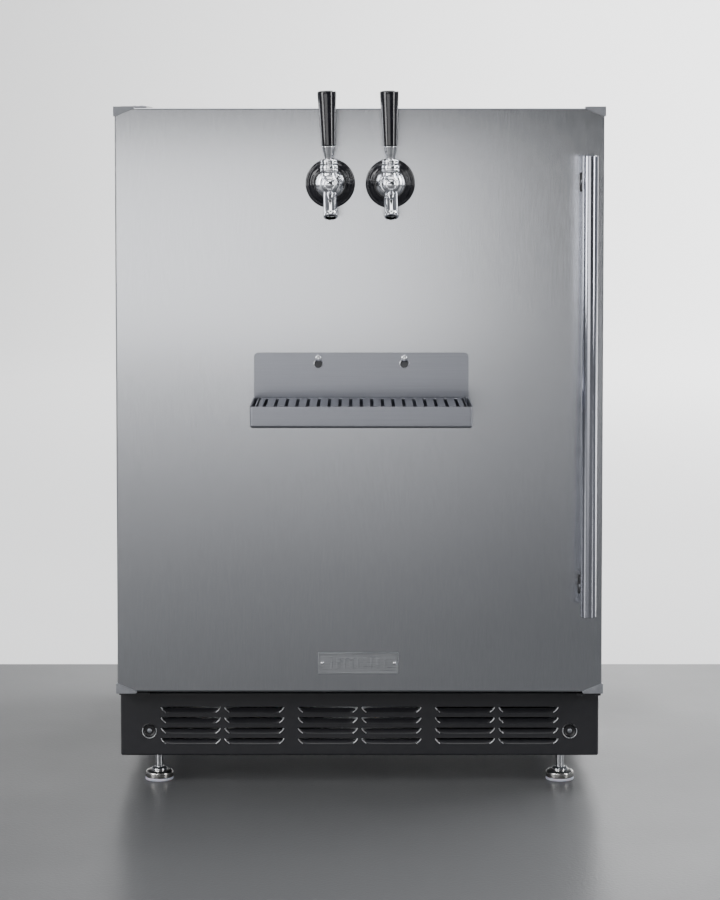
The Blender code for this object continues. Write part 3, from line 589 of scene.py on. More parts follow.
KEPT_SOLIDS = {
    "stainless": ["door_skin", "keg_floor_plate"],
    "black_steel": ["left_side_panel", "right_side_panel", "top_panel", "back_panel", "lower_hinge"],
    "satin_grey": ["upper_hinge"],
    "zinc": ["base_pan"],
    "white_plastic": ["cabinet_liner", "evaporator_cover", "control_box", "door_liner"],
    "foam": ["cabinet_foam", "door_foam"],
    "black_plastic": ["power_inlet"],
    "chrome": ["tap_left_shank", "tap_right_shank", "tap_left_plunger", "tap_right_plunger"],
}
FOLDED = {name: 0.0008 for name in KEPT_SOLIDS["black_steel"] + KEPT_SOLIDS["white_plastic"]}
FOLDED["door_skin"] = 0.0010
for finish, names in KEPT_SOLIDS.items():
    for name in names:
        solid = frame["nodes"][name]
        solid.data.materials.clear()
        solid.data.materials.append(finishes[finish])
        if name in FOLDED:
            fold = solid.modifiers.new("folded_edge", "BEVEL")
            fold.width = FOLDED[name]
            fold.segments = 3
            fold.limit_method = "ANGLE"
            fold.angle_limit = math.radians(60)
            fold.harden_normals = True
print(sum(map(len, KEPT_SOLIDS.values())), "solids keep their shape")

# %% [markdown]
# ## Screws
#
# Pan-head screws turn up all over the cabinet. A turned dome with a cross cut into it is enough, made once
# as a function. The cross is what tells the eye that it is a screw and not a rivet.

# %% A cross-head screw
def screw_head(radius, height, place):
    """A pan head standing along +Z of its place, with a cross driven into it."""
    profile = [(0, 0), (radius, 0), (radius, 0.35 * height), (0.72 * radius, 0.85 * height), (0, height)]
    long, narrow, deep = 0.55 * radius, 0.14 * radius, 0.45 * height
    arm = block((-long, -narrow, deep), (long, narrow, 2 * height))
    other = block((-narrow, -long, deep), (narrow, long, 2 * height))
    head = cut(turned(profile, 0.3 * radius, 24), cut(arm, other, "UNION"))
    head.transform(place)
    return head


def outward(x, y, z):
    """A place on a front face: +Z of the part comes out of it, towards -Y."""
    return Matrix.Translation((x, y, z)) @ FORWARD


print("screws stand along", [round(v) for v in outward(0, 0, 0).col[2][:3]], "on a front face")

# %% [markdown]
# ## Corner caps
#
# Small die-cast caps hide the folded corners of the steel door. Each is a three-cornered cheek in front
# with a lip that wraps the top or bottom and the side. They are drawn as one block with soft edges, and the
# door's own volume is cut out of it with a hair of clearance.

# %% Corner caps
CAP_CLEARANCE = Vector((0.0003, 0.0003, 0.0003))
for across, side in (("left", -1), ("right", 1)):
    for level, edge, up in (("upper", door_high.z, 1), ("lower", door_low.z, -1)):
        node_name = f"corner_cap_{level}_{across}"
        low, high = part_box(node_name)
        outer = high.x if side > 0 else low.x
        inner = low.x if side > 0 else high.x
        rim = high.z if up > 0 else low.z
        tip = low.z if up > 0 else high.z
        outline = [
            (outer, rim),
            (inner + side * 0.0015, rim),
            (inner, rim - up * 0.0012),
            (inner, edge - up * 0.0009),
            (side * 0.2985, tip + up * 0.0003),
            (outer, tip),
        ]
        cap = extruded(outline, "Y", low.y, high.y, 0.0005)
        inside = block(door_low - CAP_CLEARANCE, door_high + CAP_CLEARANCE + Vector((0, 0.02, 0)))
        piece(f"corner_cheek_{level}_{across}", cut(cap, inside), "satin_grey", "door", [node_name])
print("four corner caps, clear of the door by", round(1000 * CAP_CLEARANCE.x, 1), "mm")

# %% [markdown]
# ## The handle
#
# A straight polished tube stands off the door on two dark posts. A turned bar with plugged, slightly
# chamfered ends gives long clean reflections. Each post is saddled to the tube, and a small set screw with
# a hex socket clamps it from the inner side.

# %% Handle
bar_low, bar_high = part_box("handle_bar")
bar_x, bar_y = (bar_low.x + bar_high.x) / 2, (bar_low.y + bar_high.y) / 2
bar_r = (bar_high.x - bar_low.x) / 2
axis_line = Matrix.Translation((bar_x, bar_y, 0))
tube = turned(
    [
        (0, bar_low.z + 0.0006),
        (bar_r - 0.0022, bar_low.z + 0.0006),
        (bar_r - 0.0018, bar_low.z),
        (bar_r, bar_low.z + 0.0004),
        (bar_r, bar_high.z - 0.0004),
        (bar_r - 0.0018, bar_high.z),
        (bar_r - 0.0022, bar_high.z - 0.0006),
        (0, bar_high.z - 0.0006),
    ],
    0.0005,
    64,
    axis_line,
)
handle_bar = piece("handle_tube", tube, "polished_bar", "door", ["handle_bar"])

for level in ("lower", "upper"):
    low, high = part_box(f"handle_post_{level}")
    middle = (low + high) / 2
    bar_room = cylinder(bar_r + 0.0002, low.z - 0.01, high.z + 0.01, axis_line, 64)
    stem = cut(block(low, high, 0.0016, 3), bar_room)
    foot_low = (low.x - 0.0018, high.y - 0.0022, low.z - 0.0018)
    foot = block(foot_low, (high.x + 0.0018, high.y, high.z + 0.0018), 0.0008)
    standoff = cut(stem, foot, "UNION")
    piece(f"handle_standoff_{level}", standoff, "black_plastic", "door", [f"handle_post_{level}"])
    inward = Matrix.Translation((low.x + 0.0006, middle.y + 0.004, middle.z))
    inward @= Matrix.Rotation(math.radians(-90), 4, "Y")
    grub = cut(
        cylinder(0.0026, -0.0012, 0.0026, sides=24),
        turned([(0, 0.0008), (0.0014, 0.0008), (0.0014, 0.004), (0, 0.004)], 0, 6),
    )
    grub.transform(inward)
    piece(f"handle_set_screw_{level}", grub, "zinc", "door")
print("handle", round(bar_high.z - bar_low.z, 4), "m long,", round(2000 * bar_r, 1), "mm thick")

# %% [markdown]
# ## The badge
#
# A small plate is riveted low on the door. It is kept generic: a raised border and a row of plain ribs,
# with no lettering. The border is a mitred frame, and the ribs are rounded bars, so both catch light along
# their tops.

# %% Badge
low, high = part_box("badge_plate")
middle = (low + high) / 2
back, front = high.y, low.y
badge = block((low.x, back - 0.0014, low.z), (high.x, back, high.z), 0.0004)
rim = border(
    rounded([(0, back - 0.0006), (0, front), (0.0016, front), (0.0024, back - 0.0010)], 0.0003, True),
    (high.x - low.x) / 2,
    low.z,
    high.z,
)
moved(rim, middle.x)
ribs = []
RIB_COUNT, RIB_PITCH, RIB_MARGIN = 9, 0.0082, 0.0062
for index in range(RIB_COUNT):
    x = middle.x + (index - (RIB_COUNT - 1) / 2) * RIB_PITCH
    half = 0.0026 if index % 2 else 0.0014
    rib_low = (x - half, front + 0.0002, low.z + RIB_MARGIN)
    ribs.append(block(rib_low, (x + half, back - 0.0008, high.z - RIB_MARGIN), 0.0005))
piece("badge_relief", joined(badge, rim, *ribs), "badge", "door", ["badge_plate"])
for across, x in (("left", low.x + 0.0048), ("right", high.x - 0.0048)):
    rivet = turned([(0, 0), (0.0019, 0), (0.0017, 0.0006), (0.0010, 0.0011), (0, 0.0013)], 0.0004, 24)
    rivet.transform(outward(x, back - 0.0014, middle.z))
    piece(f"badge_rivet_{across}", rivet, "chrome", "door")
print("badge", round(high.x - low.x, 4), "by", round(high.z - low.z, 4), "m")

# %% [markdown]
# ## The faucets
#
# Each faucet is a stack of turned brass parts, chrome plated, so the lathe helper does most of the work.
# All of them are drawn about the shank's axis, coming out of the door, or about the lever's pivot. The two
# leans are read from the joints, because real levers are never quite plumb.

# %% Where each faucet sits
def tap_places(side):
    """The faucet's seat on the door and its lever's pivot, as matrices."""
    joint = joints[f"{side}_lever_pull"]
    lean = Matrix.Rotation(math.atan2(-joint["axis"][2], joint["axis"][0]), 4, "Y")
    low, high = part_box(f"tap_{side}_flange")
    centre = (low + high) / 2
    seat = Matrix.Translation((centre.x, door_low.y, centre.z)) @ lean
    return seat, Matrix.Translation(joint["pos_m"]) @ lean


seats = {side: tap_places(side) for side in ("left", "right")}
pivot_in_seat = seats["left"][0].inverted() @ seats["left"][1].translation
REACH, RISE = -pivot_in_seat.y, pivot_in_seat.z
print("the lever pivots", round(REACH, 4), "m out from the door and", round(RISE, 4), "m above the shank")

# %% [markdown]
# The flange is a black lacquered dish with a bead round its rim. Behind the faucet a chrome coupling nut
# with spanner holes pulls it onto the shank.

# %% Flange and coupling nut
def flange_shape():
    return turned(
        [
            (0.0117, 0.0003),
            (0.0300, 0.0003),
            (0.0305, 0.0014),
            (0.0300, 0.0030),
            (0.0284, 0.0040),
            (0.0272, 0.0034),
            (0.0262, 0.0042),
            (0.0240, 0.0060),
            (0.0218, 0.0066),
            (0.0212, 0.0080),
            (0.0198, 0.0086),
            (0.0190, 0.0080),
            (0.0117, 0.0079),
        ],
        0.0007,
        96,
        FORWARD,
    )


def nut_shape():
    body = turned(
        [
            (0.0113, 0.0083),
            (0.0166, 0.0083),
            (0.0176, 0.0092),
            (0.0176, 0.0106),
            (0.0170, 0.0112),
            (0.0170, 0.0172),
            (0.0162, 0.0186),
            (0.0146, 0.0220),
            (0.0122, 0.0234),
            (0.0108, 0.0234),
            (0.0108, 0.0216),
            (0.0124, 0.0212),
            (0.0124, 0.0161),
            (0.0113, 0.0161),
        ],
        0.0005,
        72,
        FORWARD,
    )
    holes = []
    for index in range(6):
        around = Matrix.Rotation(math.tau * (index + 0.5) / 6, 4, "Y")
        holes.append(cylinder(0.0019, 0.0150, 0.0220, around @ Matrix.Translation((0, -0.0142, 0)), 16))
    return cut(body, joined(*holes))


print("flange and coupling nut are turned about the shank's axis")

# %% [markdown]
# The faucet's body is a casting: a barrel with a round nose, a neck for the lever and a spout that leans
# forward. Three turned bodies are melted together by a voxel remesh and smoothed, which gives the soft
# fillets that a polished casting has. The bores are cut afterwards so that their rims stay crisp.

# %% Faucet body
SPOUT_TILT = 27
SPOUT_ROOT = 0.048


def body_shape():
    """The casting with its bores, and the lip and bush that are pressed into them."""
    tilt = Matrix.Translation((0, -SPOUT_ROOT, 0)) @ Matrix.Rotation(math.radians(180 - SPOUT_TILT), 4, "X")
    barrel = turned(
        [
            (0, 0.0163),
            (0.0120, 0.0163),
            (0.0120, 0.0208),
            (0.0104, 0.0214),
            (0.0092, 0.0300),
            (0.0092, 0.0440),
            (0.0108, 0.0520),
            (0.0112, 0.0600),
            (0.0110, 0.0700),
            (0.0098, 0.0755),
            (0.0070, 0.0780),
            (0, 0.0780),
        ],
        0.002,
        64,
        FORWARD,
    )
    neck = [(0, -0.004), (0.0100, -0.004), (0.0100, 0.0118), (0.0094, 0.0140), (0, 0.0140)]
    spout = [(0, 0.002), (0.0080, 0.002), (0.0083, 0.0200), (0.0081, 0.0405), (0, 0.0405)]
    whole = joined(
        barrel,
        turned(neck, 0.0008, 64, Matrix.Translation((0, -REACH, 0))),
        turned(spout, 0.0004, 64, tilt),
    )
    whole = cast(whole, 0.00055, 6)
    lip = [
        (0.0070, 0.0385),
        (0.0081, 0.0392),
        (0.0088, 0.0418),
        (0.0088, 0.0438),
        (0.0080, 0.0448),
        (0.0070, 0.0448),
    ]
    bore = cylinder(0.0066, 0.006, 0.060, tilt, 40, 0)
    gallery = cylinder(0.0053, 0.0150, 0.0740, FORWARD, 32, 0)
    well = cylinder(0.0066, 0.0005, 0.020, Matrix.Translation((0, -REACH, 0)), 40, 0)
    vent = cylinder(0.0016, 0.055, 0.090, Matrix.Translation((0, 0, -0.0205)) @ FORWARD, 24, 0)
    for tool in (bore, gallery, well, vent):
        whole = cut(whole, tool)
    bush = turned(
        [(0.0014, 0.0660), (0.0023, 0.0660), (0.0023, 0.0682), (0.0014, 0.0682)],
        0.0003,
        24,
        Matrix.Translation((0, 0, -0.0205)) @ FORWARD,
    )
    return joined(whole, turned(lip, 0.0003, 64, tilt), bush)


def nose_shape():
    """The round cap that closes the front of the barrel, with a ring turned into it."""
    profile = [
        (0, 0.0762),
        (0.0086, 0.0762),
        (0.0090, 0.0774),
        (0.0086, 0.0790),
        (0.0070, 0.0797),
        (0.0066, 0.0808),
        (0.0074, 0.0816),
        (0.0073, 0.0838),
        (0.0064, 0.0846),
        (0.0056, 0.0838),
        (0.0050, 0.0846),
        (0.0036, 0.0853),
        (0.0018, 0.0857),
        (0, 0.0858),
    ]
    return turned(profile, 0.0005, 64, FORWARD)


print("the spout leans forward", SPOUT_TILT, "degrees")

# %% [markdown]
# Over the neck sits the bonnet, a domed collar with a slot that the lever swings in. The lever itself is
# turned: a ball, a skirt that covers the slot, a ringed collar and a ferrule that flares up to the knob.

# %% Bonnet, lever and knob
def dome(radius, start, end, steps, lift=0.0):
    """Points on an arc about the pivot, by angle from straight up."""
    turns = [math.radians(start + (end - start) * step / steps) for step in range(steps + 1)]
    return [(radius * math.sin(turn), radius * math.cos(turn) + lift) for turn in turns]


def bonnet_shape():
    profile = [
        (0.0102, RISE + 0.0043),
        (0.0108, RISE + 0.0049),
        (0.0110, RISE + 0.0072),
        (0.0105, RISE + 0.0077),
        (0.0105, RISE + 0.0083),
        (0.0110, RISE + 0.0088),
        (0.0110, RISE + 0.0112),
        *dome(0.0160, 41.5, 2, 6, RISE),
        *dome(0.0136, 2, 37.3, 4, RISE),
        (0.0102, RISE + 0.0106),
    ]
    body = turned(profile, 0.0003, 56, Matrix.Translation((0, -REACH, 0)))
    slot = block((-0.0038, -REACH - 0.0096, RISE + 0.002), (0.0038, -REACH + 0.0038, RISE + 0.020))
    return cut(body, slot)


def lever_shape():
    profile = [
        (0, -0.0100),
        (0.0014, -0.0096),
        (0.0020, -0.0080),
        (0.0022, -0.0056),
        *dome(0.0060, 158, 33, 8),
        *dome(0.0164, 11.3, 36, 4),
        (0.0101, 0.0140),
        (0.0103, 0.0150),
        (0.0099, 0.0156),
        (0.0099, 0.0162),
        (0.0103, 0.0168),
        (0.0101, 0.0182),
        (0.0092, 0.0188),
        (0.0051, 0.0190),
        (0.0048, 0.0198),
        (0.0053, 0.0225),
        (0.0063, 0.0262),
        (0.0081, 0.0346),
        (0.0080, 0.0352),
        (0, 0.0352),
    ]
    return turned(profile, 0.0003, 48)


def knob_shape():
    profile = [
        (0, 0.0355),
        (0.0080, 0.0355),
        (0.0087, 0.0362),
        (0.0094, 0.0520),
        (0.0106, 0.0820),
        (0.0114, 0.0965),
        (0.0114, 0.1010),
        (0.0060, 0.1021),
        (0, 0.1022),
    ]
    return turned(profile, 0.0016, 64)


print("the lever's ball is", 12, "mm across")

# %% [markdown]
# Each side gets its own copy of the seven parts. Five sit on the seat and ride on the door. The stalk and
# its knob are placed about the pivot and ride on the lever's body, so that they swing when the lever is
# pulled.

# %% Assemble both faucets
for side, (seat, pivot) in seats.items():
    tap = f"tap_{side}_"
    lever_body = f"{side}_lever"
    piece(tap + "dish", flange_shape(), "black_gloss", "door", [tap + "flange"], seat)
    piece(tap + "spanner_nut", nut_shape(), "chrome", "door", [tap + "coupling_nut"], seat)
    piece(tap + "casting", body_shape(), "chrome", "door", [tap + "faucet_body"], seat, 50)
    piece(tap + "nose", nose_shape(), "chrome", "door", (), seat)
    piece(tap + "collar", bonnet_shape(), "chrome", "door", [tap + "bonnet"], seat)
    piece(tap + "stalk", lever_shape(), "chrome", lever_body, [tap + "lever"], pivot)
    piece(tap + "grip", knob_shape(), "black_gloss", lever_body, [tap + "knob"], pivot)
print(len(seats), "faucets")

# %% [markdown]
# Behind the door each shank ends in a lock nut and a barbed tail where the beer line would be pushed on.
# The lines themselves are left out.

# %% Lock nuts and tails inside the door
liner_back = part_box("door_foam")[1].y
SHANK_HOLE = 0.0113
for side, (seat, pivot) in seats.items():
    shank_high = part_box(f"tap_{side}_shank")[1]
    behind = seat @ Matrix.Rotation(math.radians(-90), 4, "X")
    start = liner_back - door_low.y + 0.0026
    end = shank_high.y - door_low.y
    disc = [(SHANK_HOLE, start), (0.0190, start), (0.0190, start + 0.0012), (SHANK_HOLE, start + 0.0012)]
    piece(f"tap_{side}_washer", turned(disc, 0.0003, 48), "zinc", "door", (), behind)
    flats = [(0.0166, 0), (0.0172, 0.0008), (0.0172, 0.0062), (0.0166, 0.0070)]
    hexagon = turned([(SHANK_HOLE, 0), *flats, (SHANK_HOLE, 0.0070)], 0, 6)
    piece(f"tap_{side}_lock_nut", moved(hexagon, z=start + 0.0014), "zinc", "door", (), behind)
    barb = [(0.0026, end - 0.016), (0.0035, end - 0.016), (0.0035, end), (0.0044, end + 0.001)]
    for ridge in range(3):
        foot = end + 0.0015 + 0.004 * ridge
        barb += [(0.0052, foot), (0.0038, foot + 0.0038)]
    barb += [(0.0026, end + 0.0140)]
    piece(f"tap_{side}_tail", turned(barb, 0.0002, 32), "chrome", "door", (), behind)
print("shanks run", round(1000 * (shank_high.y - liner_back), 1), "mm past the door's foam")

# %% [markdown]
# ## The drip tray
#
# One sheet of steel is cut, folded and welded: a basin with rolled edges and a tall back that hangs by
# keyholes on two screws. The basin starts as an open box whose edges are bevelled to the bend radius, and
# Solidify then gives it the sheet's thickness. The back is a flat plate with rounded corners and the
# keyholes cut through.

# %% The tray's sheet
tray_low, tray_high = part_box("drip_tray")
grate_low, grate_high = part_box("drip_grate")
screw_low, screw_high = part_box("tray_screw_right")
SHEET = 0.0012
BEND = 0.0034
rim_z = grate_high.z + 0.0010


def open_box(low, high, radius, missing):
    """A box without the faces whose normals are listed, its remaining edges rolled to a radius."""
    shape = block(low, high)
    gone = [face for face in shape.faces if tuple(round(v) for v in face.normal) in missing]
    bmesh.ops.delete(shape, geom=gone, context="FACES")
    kept = [edge for edge in shape.edges if len(edge.link_faces) == 2]
    bmesh.ops.bevel(shape, geom=kept, offset=radius, segments=4, profile=0.5, affect="EDGES")
    return shape


# %% [markdown]
# A keyhole is a round hole that passes over the screw's head, with a narrow neck that drops onto its shank.
# The outline is two arcs joined by straight sides. A thin dark rubber disc on the door behind each hole is
# painted shade: it darkens the hole, where the gap behind the sheet lies in shadow.

# %% Basin, back and keyholes
basin = open_box((tray_low.x, tray_low.y, tray_low.z), (tray_high.x, tray_high.y, rim_z), BEND, {(0, 0, 1)})
basin = thickened(basin, SHEET)
keyhole_x = [sum(v.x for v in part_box(f"tray_screw_{side}")) / 2 for side in ("left", "right")]
screw_z = (screw_low.z + screw_high.z) / 2
DROP = 0.0072


def keyhole(x):
    """A round hole below with a narrow neck that rises to the screw."""
    neck, hole = 0.0024, 0.0050
    start = math.degrees(math.acos(neck / hole))
    steps = 24
    points = []
    for step in range(steps + 1):
        turn = math.radians(180 - start + (180 + 2 * start) * step / steps)
        points.append((x + hole * math.cos(turn), screw_z - DROP + hole * math.sin(turn)))
    for step in range(9):
        turn = math.radians(180 * step / 8)
        points.append((x + neck * math.cos(turn), screw_z + neck * math.sin(turn)))
    return points


upright = Matrix.Translation((0, tray_high.y - SHEET / 2, 0)) @ FORWARD
TOP_CORNER = 0.006
outline = [
    (tray_low.x, tray_low.z + 0.004),
    (tray_high.x, tray_low.z + 0.004),
    *rounded(
        [(tray_high.x, tray_high.z - 0.02), (tray_high.x, tray_high.z), (tray_high.x - 0.02, tray_high.z)],
        TOP_CORNER,
        steps=6,
    )[1:-1],
    *rounded(
        [(tray_low.x + 0.02, tray_high.z), (tray_low.x, tray_high.z), (tray_low.x, tray_high.z - 0.02)],
        TOP_CORNER,
        steps=6,
    )[1:-1],
]
splash = plate(outline, [keyhole(x) for x in keyhole_x], SHEET, 0.0003, upright)
piece("tray_folded", cut(basin, splash, "UNION"), "tray_steel", "tray", ["drip_tray"])
for side, x in zip(("left", "right"), keyhole_x):
    ring = turned([(0.0050, 0), (0.0057, 0), (0.0057, 0.0003), (0.0050, 0.0004)], 0.0001, 40)
    ring.transform(outward(x, tray_high.y - SHEET - 0.0001, screw_z - DROP))
    piece(f"keyhole_burr_{side}", ring, "chrome", "tray")
    # painted shade: a dark disc behind the hole, where the gap is in shadow
    pad = cylinder(0.0056, 0.00002, 0.00026, outward(x, door_low.y, screw_z - DROP), 40, 0.0001)
    piece(f"keyhole_shade_disc_{side}", pad, "gasket_rubber", "door")
print("tray", round(tray_high.x - tray_low.x, 4), "m wide, rim at", round(rim_z, 4))

# %% [markdown]
# The grate lifts out to be rinsed. It is a plate with round-ended slots and two turned-down ends. Cutting
# the slots as holes of a filled curve keeps their rims clean and softly rounded.

# %% Grate
SLOT_COUNT = 19
SLOT_PITCH = 0.0128
middle_x = (grate_low.x + grate_high.x) / 2
middle_y = (grate_low.y + grate_high.y) / 2
slot_half = 0.0020
slot_reach = 0.0500
slot_lines = []
for index in range(SLOT_COUNT):
    x = middle_x + SLOT_PITCH * (index - (SLOT_COUNT - 1) / 2)
    slot_lines.append(
        rectangle(x - slot_half, middle_y - slot_reach, x + slot_half, middle_y + slot_reach, slot_half * 0.9)
    )
face = plate(
    rectangle(grate_low.x + 0.001, grate_low.y, grate_high.x - 0.001, grate_high.y, 0.002),
    slot_lines,
    SHEET,
    0.0003,
    Matrix.Translation((0, 0, grate_high.z - SHEET / 2)),
)
ends = []
for side, x in ((1, grate_low.x), (-1, grate_high.x)):
    fold = rounded([(x + side * 0.004, grate_high.z), (x, grate_high.z), (x, grate_low.z)], 0.0022, steps=5)
    back = [(a + side * SHEET, b) for a, b in reversed(fold[1:])] + [(fold[0][0], grate_high.z - SHEET)]
    ends.append(extruded([*fold, *back], "Y", grate_low.y + 0.004, grate_high.y - 0.004))
piece("grate_slotted", joined(face, *ends), "tray_steel", "grate", ["drip_grate"])
print(SLOT_COUNT, "slots of", 2000 * slot_half, "mm")

# %% [markdown]
# The tray hangs on two chromed screws. Each has a short plain shank that the keyhole's neck rests on, and a
# head wider than the neck.

# %% Tray screws
for side in ("left", "right"):
    low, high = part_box(f"tray_screw_{side}")
    place = outward((low.x + high.x) / 2, high.y, (low.z + high.z) / 2)
    shank = cylinder(0.0019, 0, 0.0020, place, 24)
    head = screw_head(0.0041, 0.0024, place @ Matrix.Translation((0, 0, 0.0018)))
    piece(f"tray_hanger_screw_{side}", joined(shank, head), "chrome", "door", [f"tray_screw_{side}"])
print("two hanger screws")

# %% [markdown]
# ## The kick grille
#
# Under the door a black panel lets air reach the condenser. Its louvres are pressed, not cut: a press tool
# slits the sheet along the top of each one and pushes the metal inward, so it curves in from the lower edge
# and from both ends. The panel is a folded pan with the slits' outlines cut out. Each louvre is a small
# curved sheet whose depth grows from its lower edge and fades at its ends.

# %% Louvre shape
kick_low, kick_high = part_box("kick_grille")
LOUVRE_ROWS = 4
LOUVRE_PITCH = 0.01325
LOUVRE_TOP = 0.101
LOUVRE_HEIGHT = 0.0078
LOUVRE_CORNER = 0.0060
LOUVRE_DEPTH = 0.0052
SLIT = 0.0030
COLUMNS = ((0.0024, 0.0774), (0.0948, 0.1696), (0.1745, 0.2494))


def louvre_outline(x0, x1, top):
    """Wide at the top and drawn in at the lower corners."""
    bottom = top - LOUVRE_HEIGHT
    points = [(x0, top), (x1, top), (x1 - LOUVRE_CORNER, bottom), (x0 + LOUVRE_CORNER, bottom)]
    return rounded(points, 0.0012, True, 3)


def louvre_sheet(x0, x1, top):
    """The pushed-in metal, as a curved surface with a thickness."""
    shape = bmesh.new()
    across = [0, 0.25, 0.5, 0.75, 1]
    rows = []
    for step in range(8):
        v = step / 7
        z = top - LOUVRE_HEIGHT + (LOUVRE_HEIGHT - SLIT) * v
        inset = LOUVRE_CORNER * (top - z) / LOUVRE_HEIGHT
        spots = [x0 + inset + t * LOUVRE_CORNER * 1.3 for t in across]
        spots += [x1 - inset - t * LOUVRE_CORNER * 1.3 for t in reversed(across)]
        row = []
        for x in spots:
            end = min(x - x0 - inset, x1 - inset - x) / (LOUVRE_CORNER * 1.3)
            fade = math.sin(math.pi / 2 * min(1, max(0, end))) ** 0.8
            depth = LOUVRE_DEPTH * v ** 1.3 * fade
            row.append(shape.verts.new((x, kick_low.y + 0.0003 + depth, z)))
        rows.append(row)
    for lower, upper in zip(rows, rows[1:]):
        for index in range(len(lower) - 1):
            shape.faces.new((lower[index], lower[index + 1], upper[index + 1], upper[index]))
    return shape


louvre_places = []
for side in (-1, 1):
    for near, far in COLUMNS:
        x0, x1 = sorted((side * near, side * far))
        louvre_places += [(x0, x1, LOUVRE_TOP - LOUVRE_PITCH * row) for row in range(LOUVRE_ROWS)]
print(len(louvre_places), "louvres")

# %% [markdown]
# The pan's front is cut by the outlines, all in one boolean, and the louvres are one mesh behind it.

# %% Grille panel
PANEL_SHEET = 0.0012
panel = open_box(kick_low, kick_high, 0.0024, {(0, 1, 0)})
panel = thickened(panel, PANEL_SHEET)
openings = []
for louvre_place in louvre_places:
    openings.append(extruded(louvre_outline(*louvre_place), "Y", kick_low.y - 0.004, kick_low.y + 0.004))
DISH_X, DISH_Z, DISH_R, HIGHLIGHT_ARC_R = 0.264, 0.070, 0.0098, 0.0088
for x in (-DISH_X, DISH_X):
    openings.append(cylinder(DISH_R - 0.0004, -0.004, 0.004, outward(x, kick_low.y, DISH_Z), 48, 0))
panel = cut(panel, joined(*openings))
piece("kick_panel", panel, "black_steel", "cabinet", ["kick_grille"], crease=30)

louvres = joined(*[louvre_sheet(*place) for place in louvre_places])
louvres = through(louvres, ("SOLIDIFY", {"thickness": 0.0009, "offset": 0}))
piece("kick_louvres", louvres, "black_steel", "cabinet", crease=60)
print("the panel is", 1000 * PANEL_SHEET, "mm sheet with", len(louvre_places), "openings")


# %% [markdown]
# At each louvre's end a thin bowed strip of pale bare metal lies on the black panel: a painted highlight,
# standing in for the light that the stretched edge of the sheet catches there. Two dished seats hold the
# panel's screws. A turned ring makes the dish, and a fine open ring of pale metal round its lower part is a
# painted highlight where the dish's lower wall catches the light.

# %% Painted edge highlights and screw seats
def painted_edge_highlight(x, side, top):
    """A pale strip at one end of a louvre, bowed like the press tool: a painted highlight for the light its
    stretched edge catches.
    """
    foot = x - side * LOUVRE_CORNER
    points = [
        (x - side * 0.0002, kick_low.y - 0.0003, top - 0.0008),
        (x - side * 0.0019, kick_low.y - 0.0004, top - 0.0038),
        (foot, kick_low.y - 0.0003, top - LOUVRE_HEIGHT + 0.0006),
    ]
    return pipe(points, 0.0006, 0.0020)


# pale metal strips as painted highlights at the louvres' ends
highlight_strokes = [painted_edge_highlight(x, side, top) for x0, x1, top in louvre_places for x, side in ((x0, -1), (x1, 1))]
piece("kick_louvre_painted_highlights", joined(*highlight_strokes), "fins", "cabinet")

for across, x in (("left", -DISH_X), ("right", DISH_X)):
    dish = turned(
        [
            (DISH_R, 0.0004),
            (DISH_R - 0.0010, 0.0007),
            (0.0066, -0.0022),
            (0.0058, -0.0026),
            (0.0016, -0.0026),
            (0.0016, -0.0036),
            (0.0062, -0.0036),
            (0.0072, -0.0030),
            (DISH_R - 0.0002, -0.0004),
        ],
        0.0005,
        56,
        outward(x, kick_low.y, DISH_Z),
    )
    piece(f"kick_dish_{across}", dish, "enamel", "cabinet")
    # painted highlight: a pale open ring on the dish's lower part, where its lower wall catches the light
    arc = [math.radians(-205 + 230 * step / 24) for step in range(25)]
    highlight_arc_line = [(x + HIGHLIGHT_ARC_R * math.cos(a), kick_low.y - 0.0002, DISH_Z + HIGHLIGHT_ARC_R * math.sin(a)) for a in arc]
    lip = pipe(highlight_arc_line, 0.0006)
    piece(f"kick_dish_highlight_arc_{across}", lip, "fins", "cabinet")
    screw = screw_head(0.0030, 0.0020, outward(x, kick_low.y + 0.0026, DISH_Z))
    piece(f"kick_screw_{across}", screw, "zinc", "cabinet")
print("grille panel", round(kick_high.x - kick_low.x, 3), "m wide")

# %% [markdown]
# ## The feet
#
# Each corner stands on a levelling foot: a steel stem that screws up into the base, a plated cap pressed
# over its end and a pale plastic pad that spares the floor. All three are turned.

# %% Feet
STEM = [
    (0, 0.0124),
    (0.0100, 0.0124),
    (0.0100, 0.0146),
    (0.0090, 0.0156),
    (0.0062, 0.0158),
    (0.0050, 0.0166),
    (0.0050, 0.0590),
    (0.0044, 0.0600),
    (0, 0.0600),
]
CAP = [
    (0, 0.0036),
    (0.0176, 0.0036),
    (0.0177, 0.0096),
    (0.0166, 0.0112),
    (0.0140, 0.0120),
    (0.0100, 0.0126),
    (0, 0.0126),
]
PAD = [(0, 0), (0.0170, 0), (0.0178, 0.0010), (0.0178, 0.0028), (0.0172, 0.0035), (0, 0.0035)]
for depth in ("front", "rear"):
    for across in ("left", "right"):
        low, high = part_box(f"foot_pad_{depth}_{across}")
        place = Matrix.Translation(((low.x + high.x) / 2, (low.y + high.y) / 2, 0))
        body = f"{depth}_{across}_foot"
        stem_node, pad_node = f"foot_stem_{depth}_{across}", f"foot_pad_{depth}_{across}"
        piece(f"leveller_{depth}_{across}", turned(STEM, 0.0006, 48), "chrome", body, [stem_node], place)
        piece(f"foot_cap_{depth}_{across}", turned(CAP, 0.0010, 56), "nickel", body, (), place)
        piece(f"glide_{depth}_{across}", turned(PAD, 0.0007, 48), "pale_plastic", body, [pad_node], place)
        collar_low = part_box("base_pan")[0].z
        nut = turned([(0.0054, 0), (0.0082, 0), (0.0082, 0.0042), (0.0054, 0.0042)], 0.0002, 6)
        piece(f"foot_nut_{depth}_{across}", moved(nut, z=collar_low + 0.0018), "zinc", "cabinet", (), place)
print("four feet, stems", round(1000 * 2 * STEM[6][0]), "mm thick")

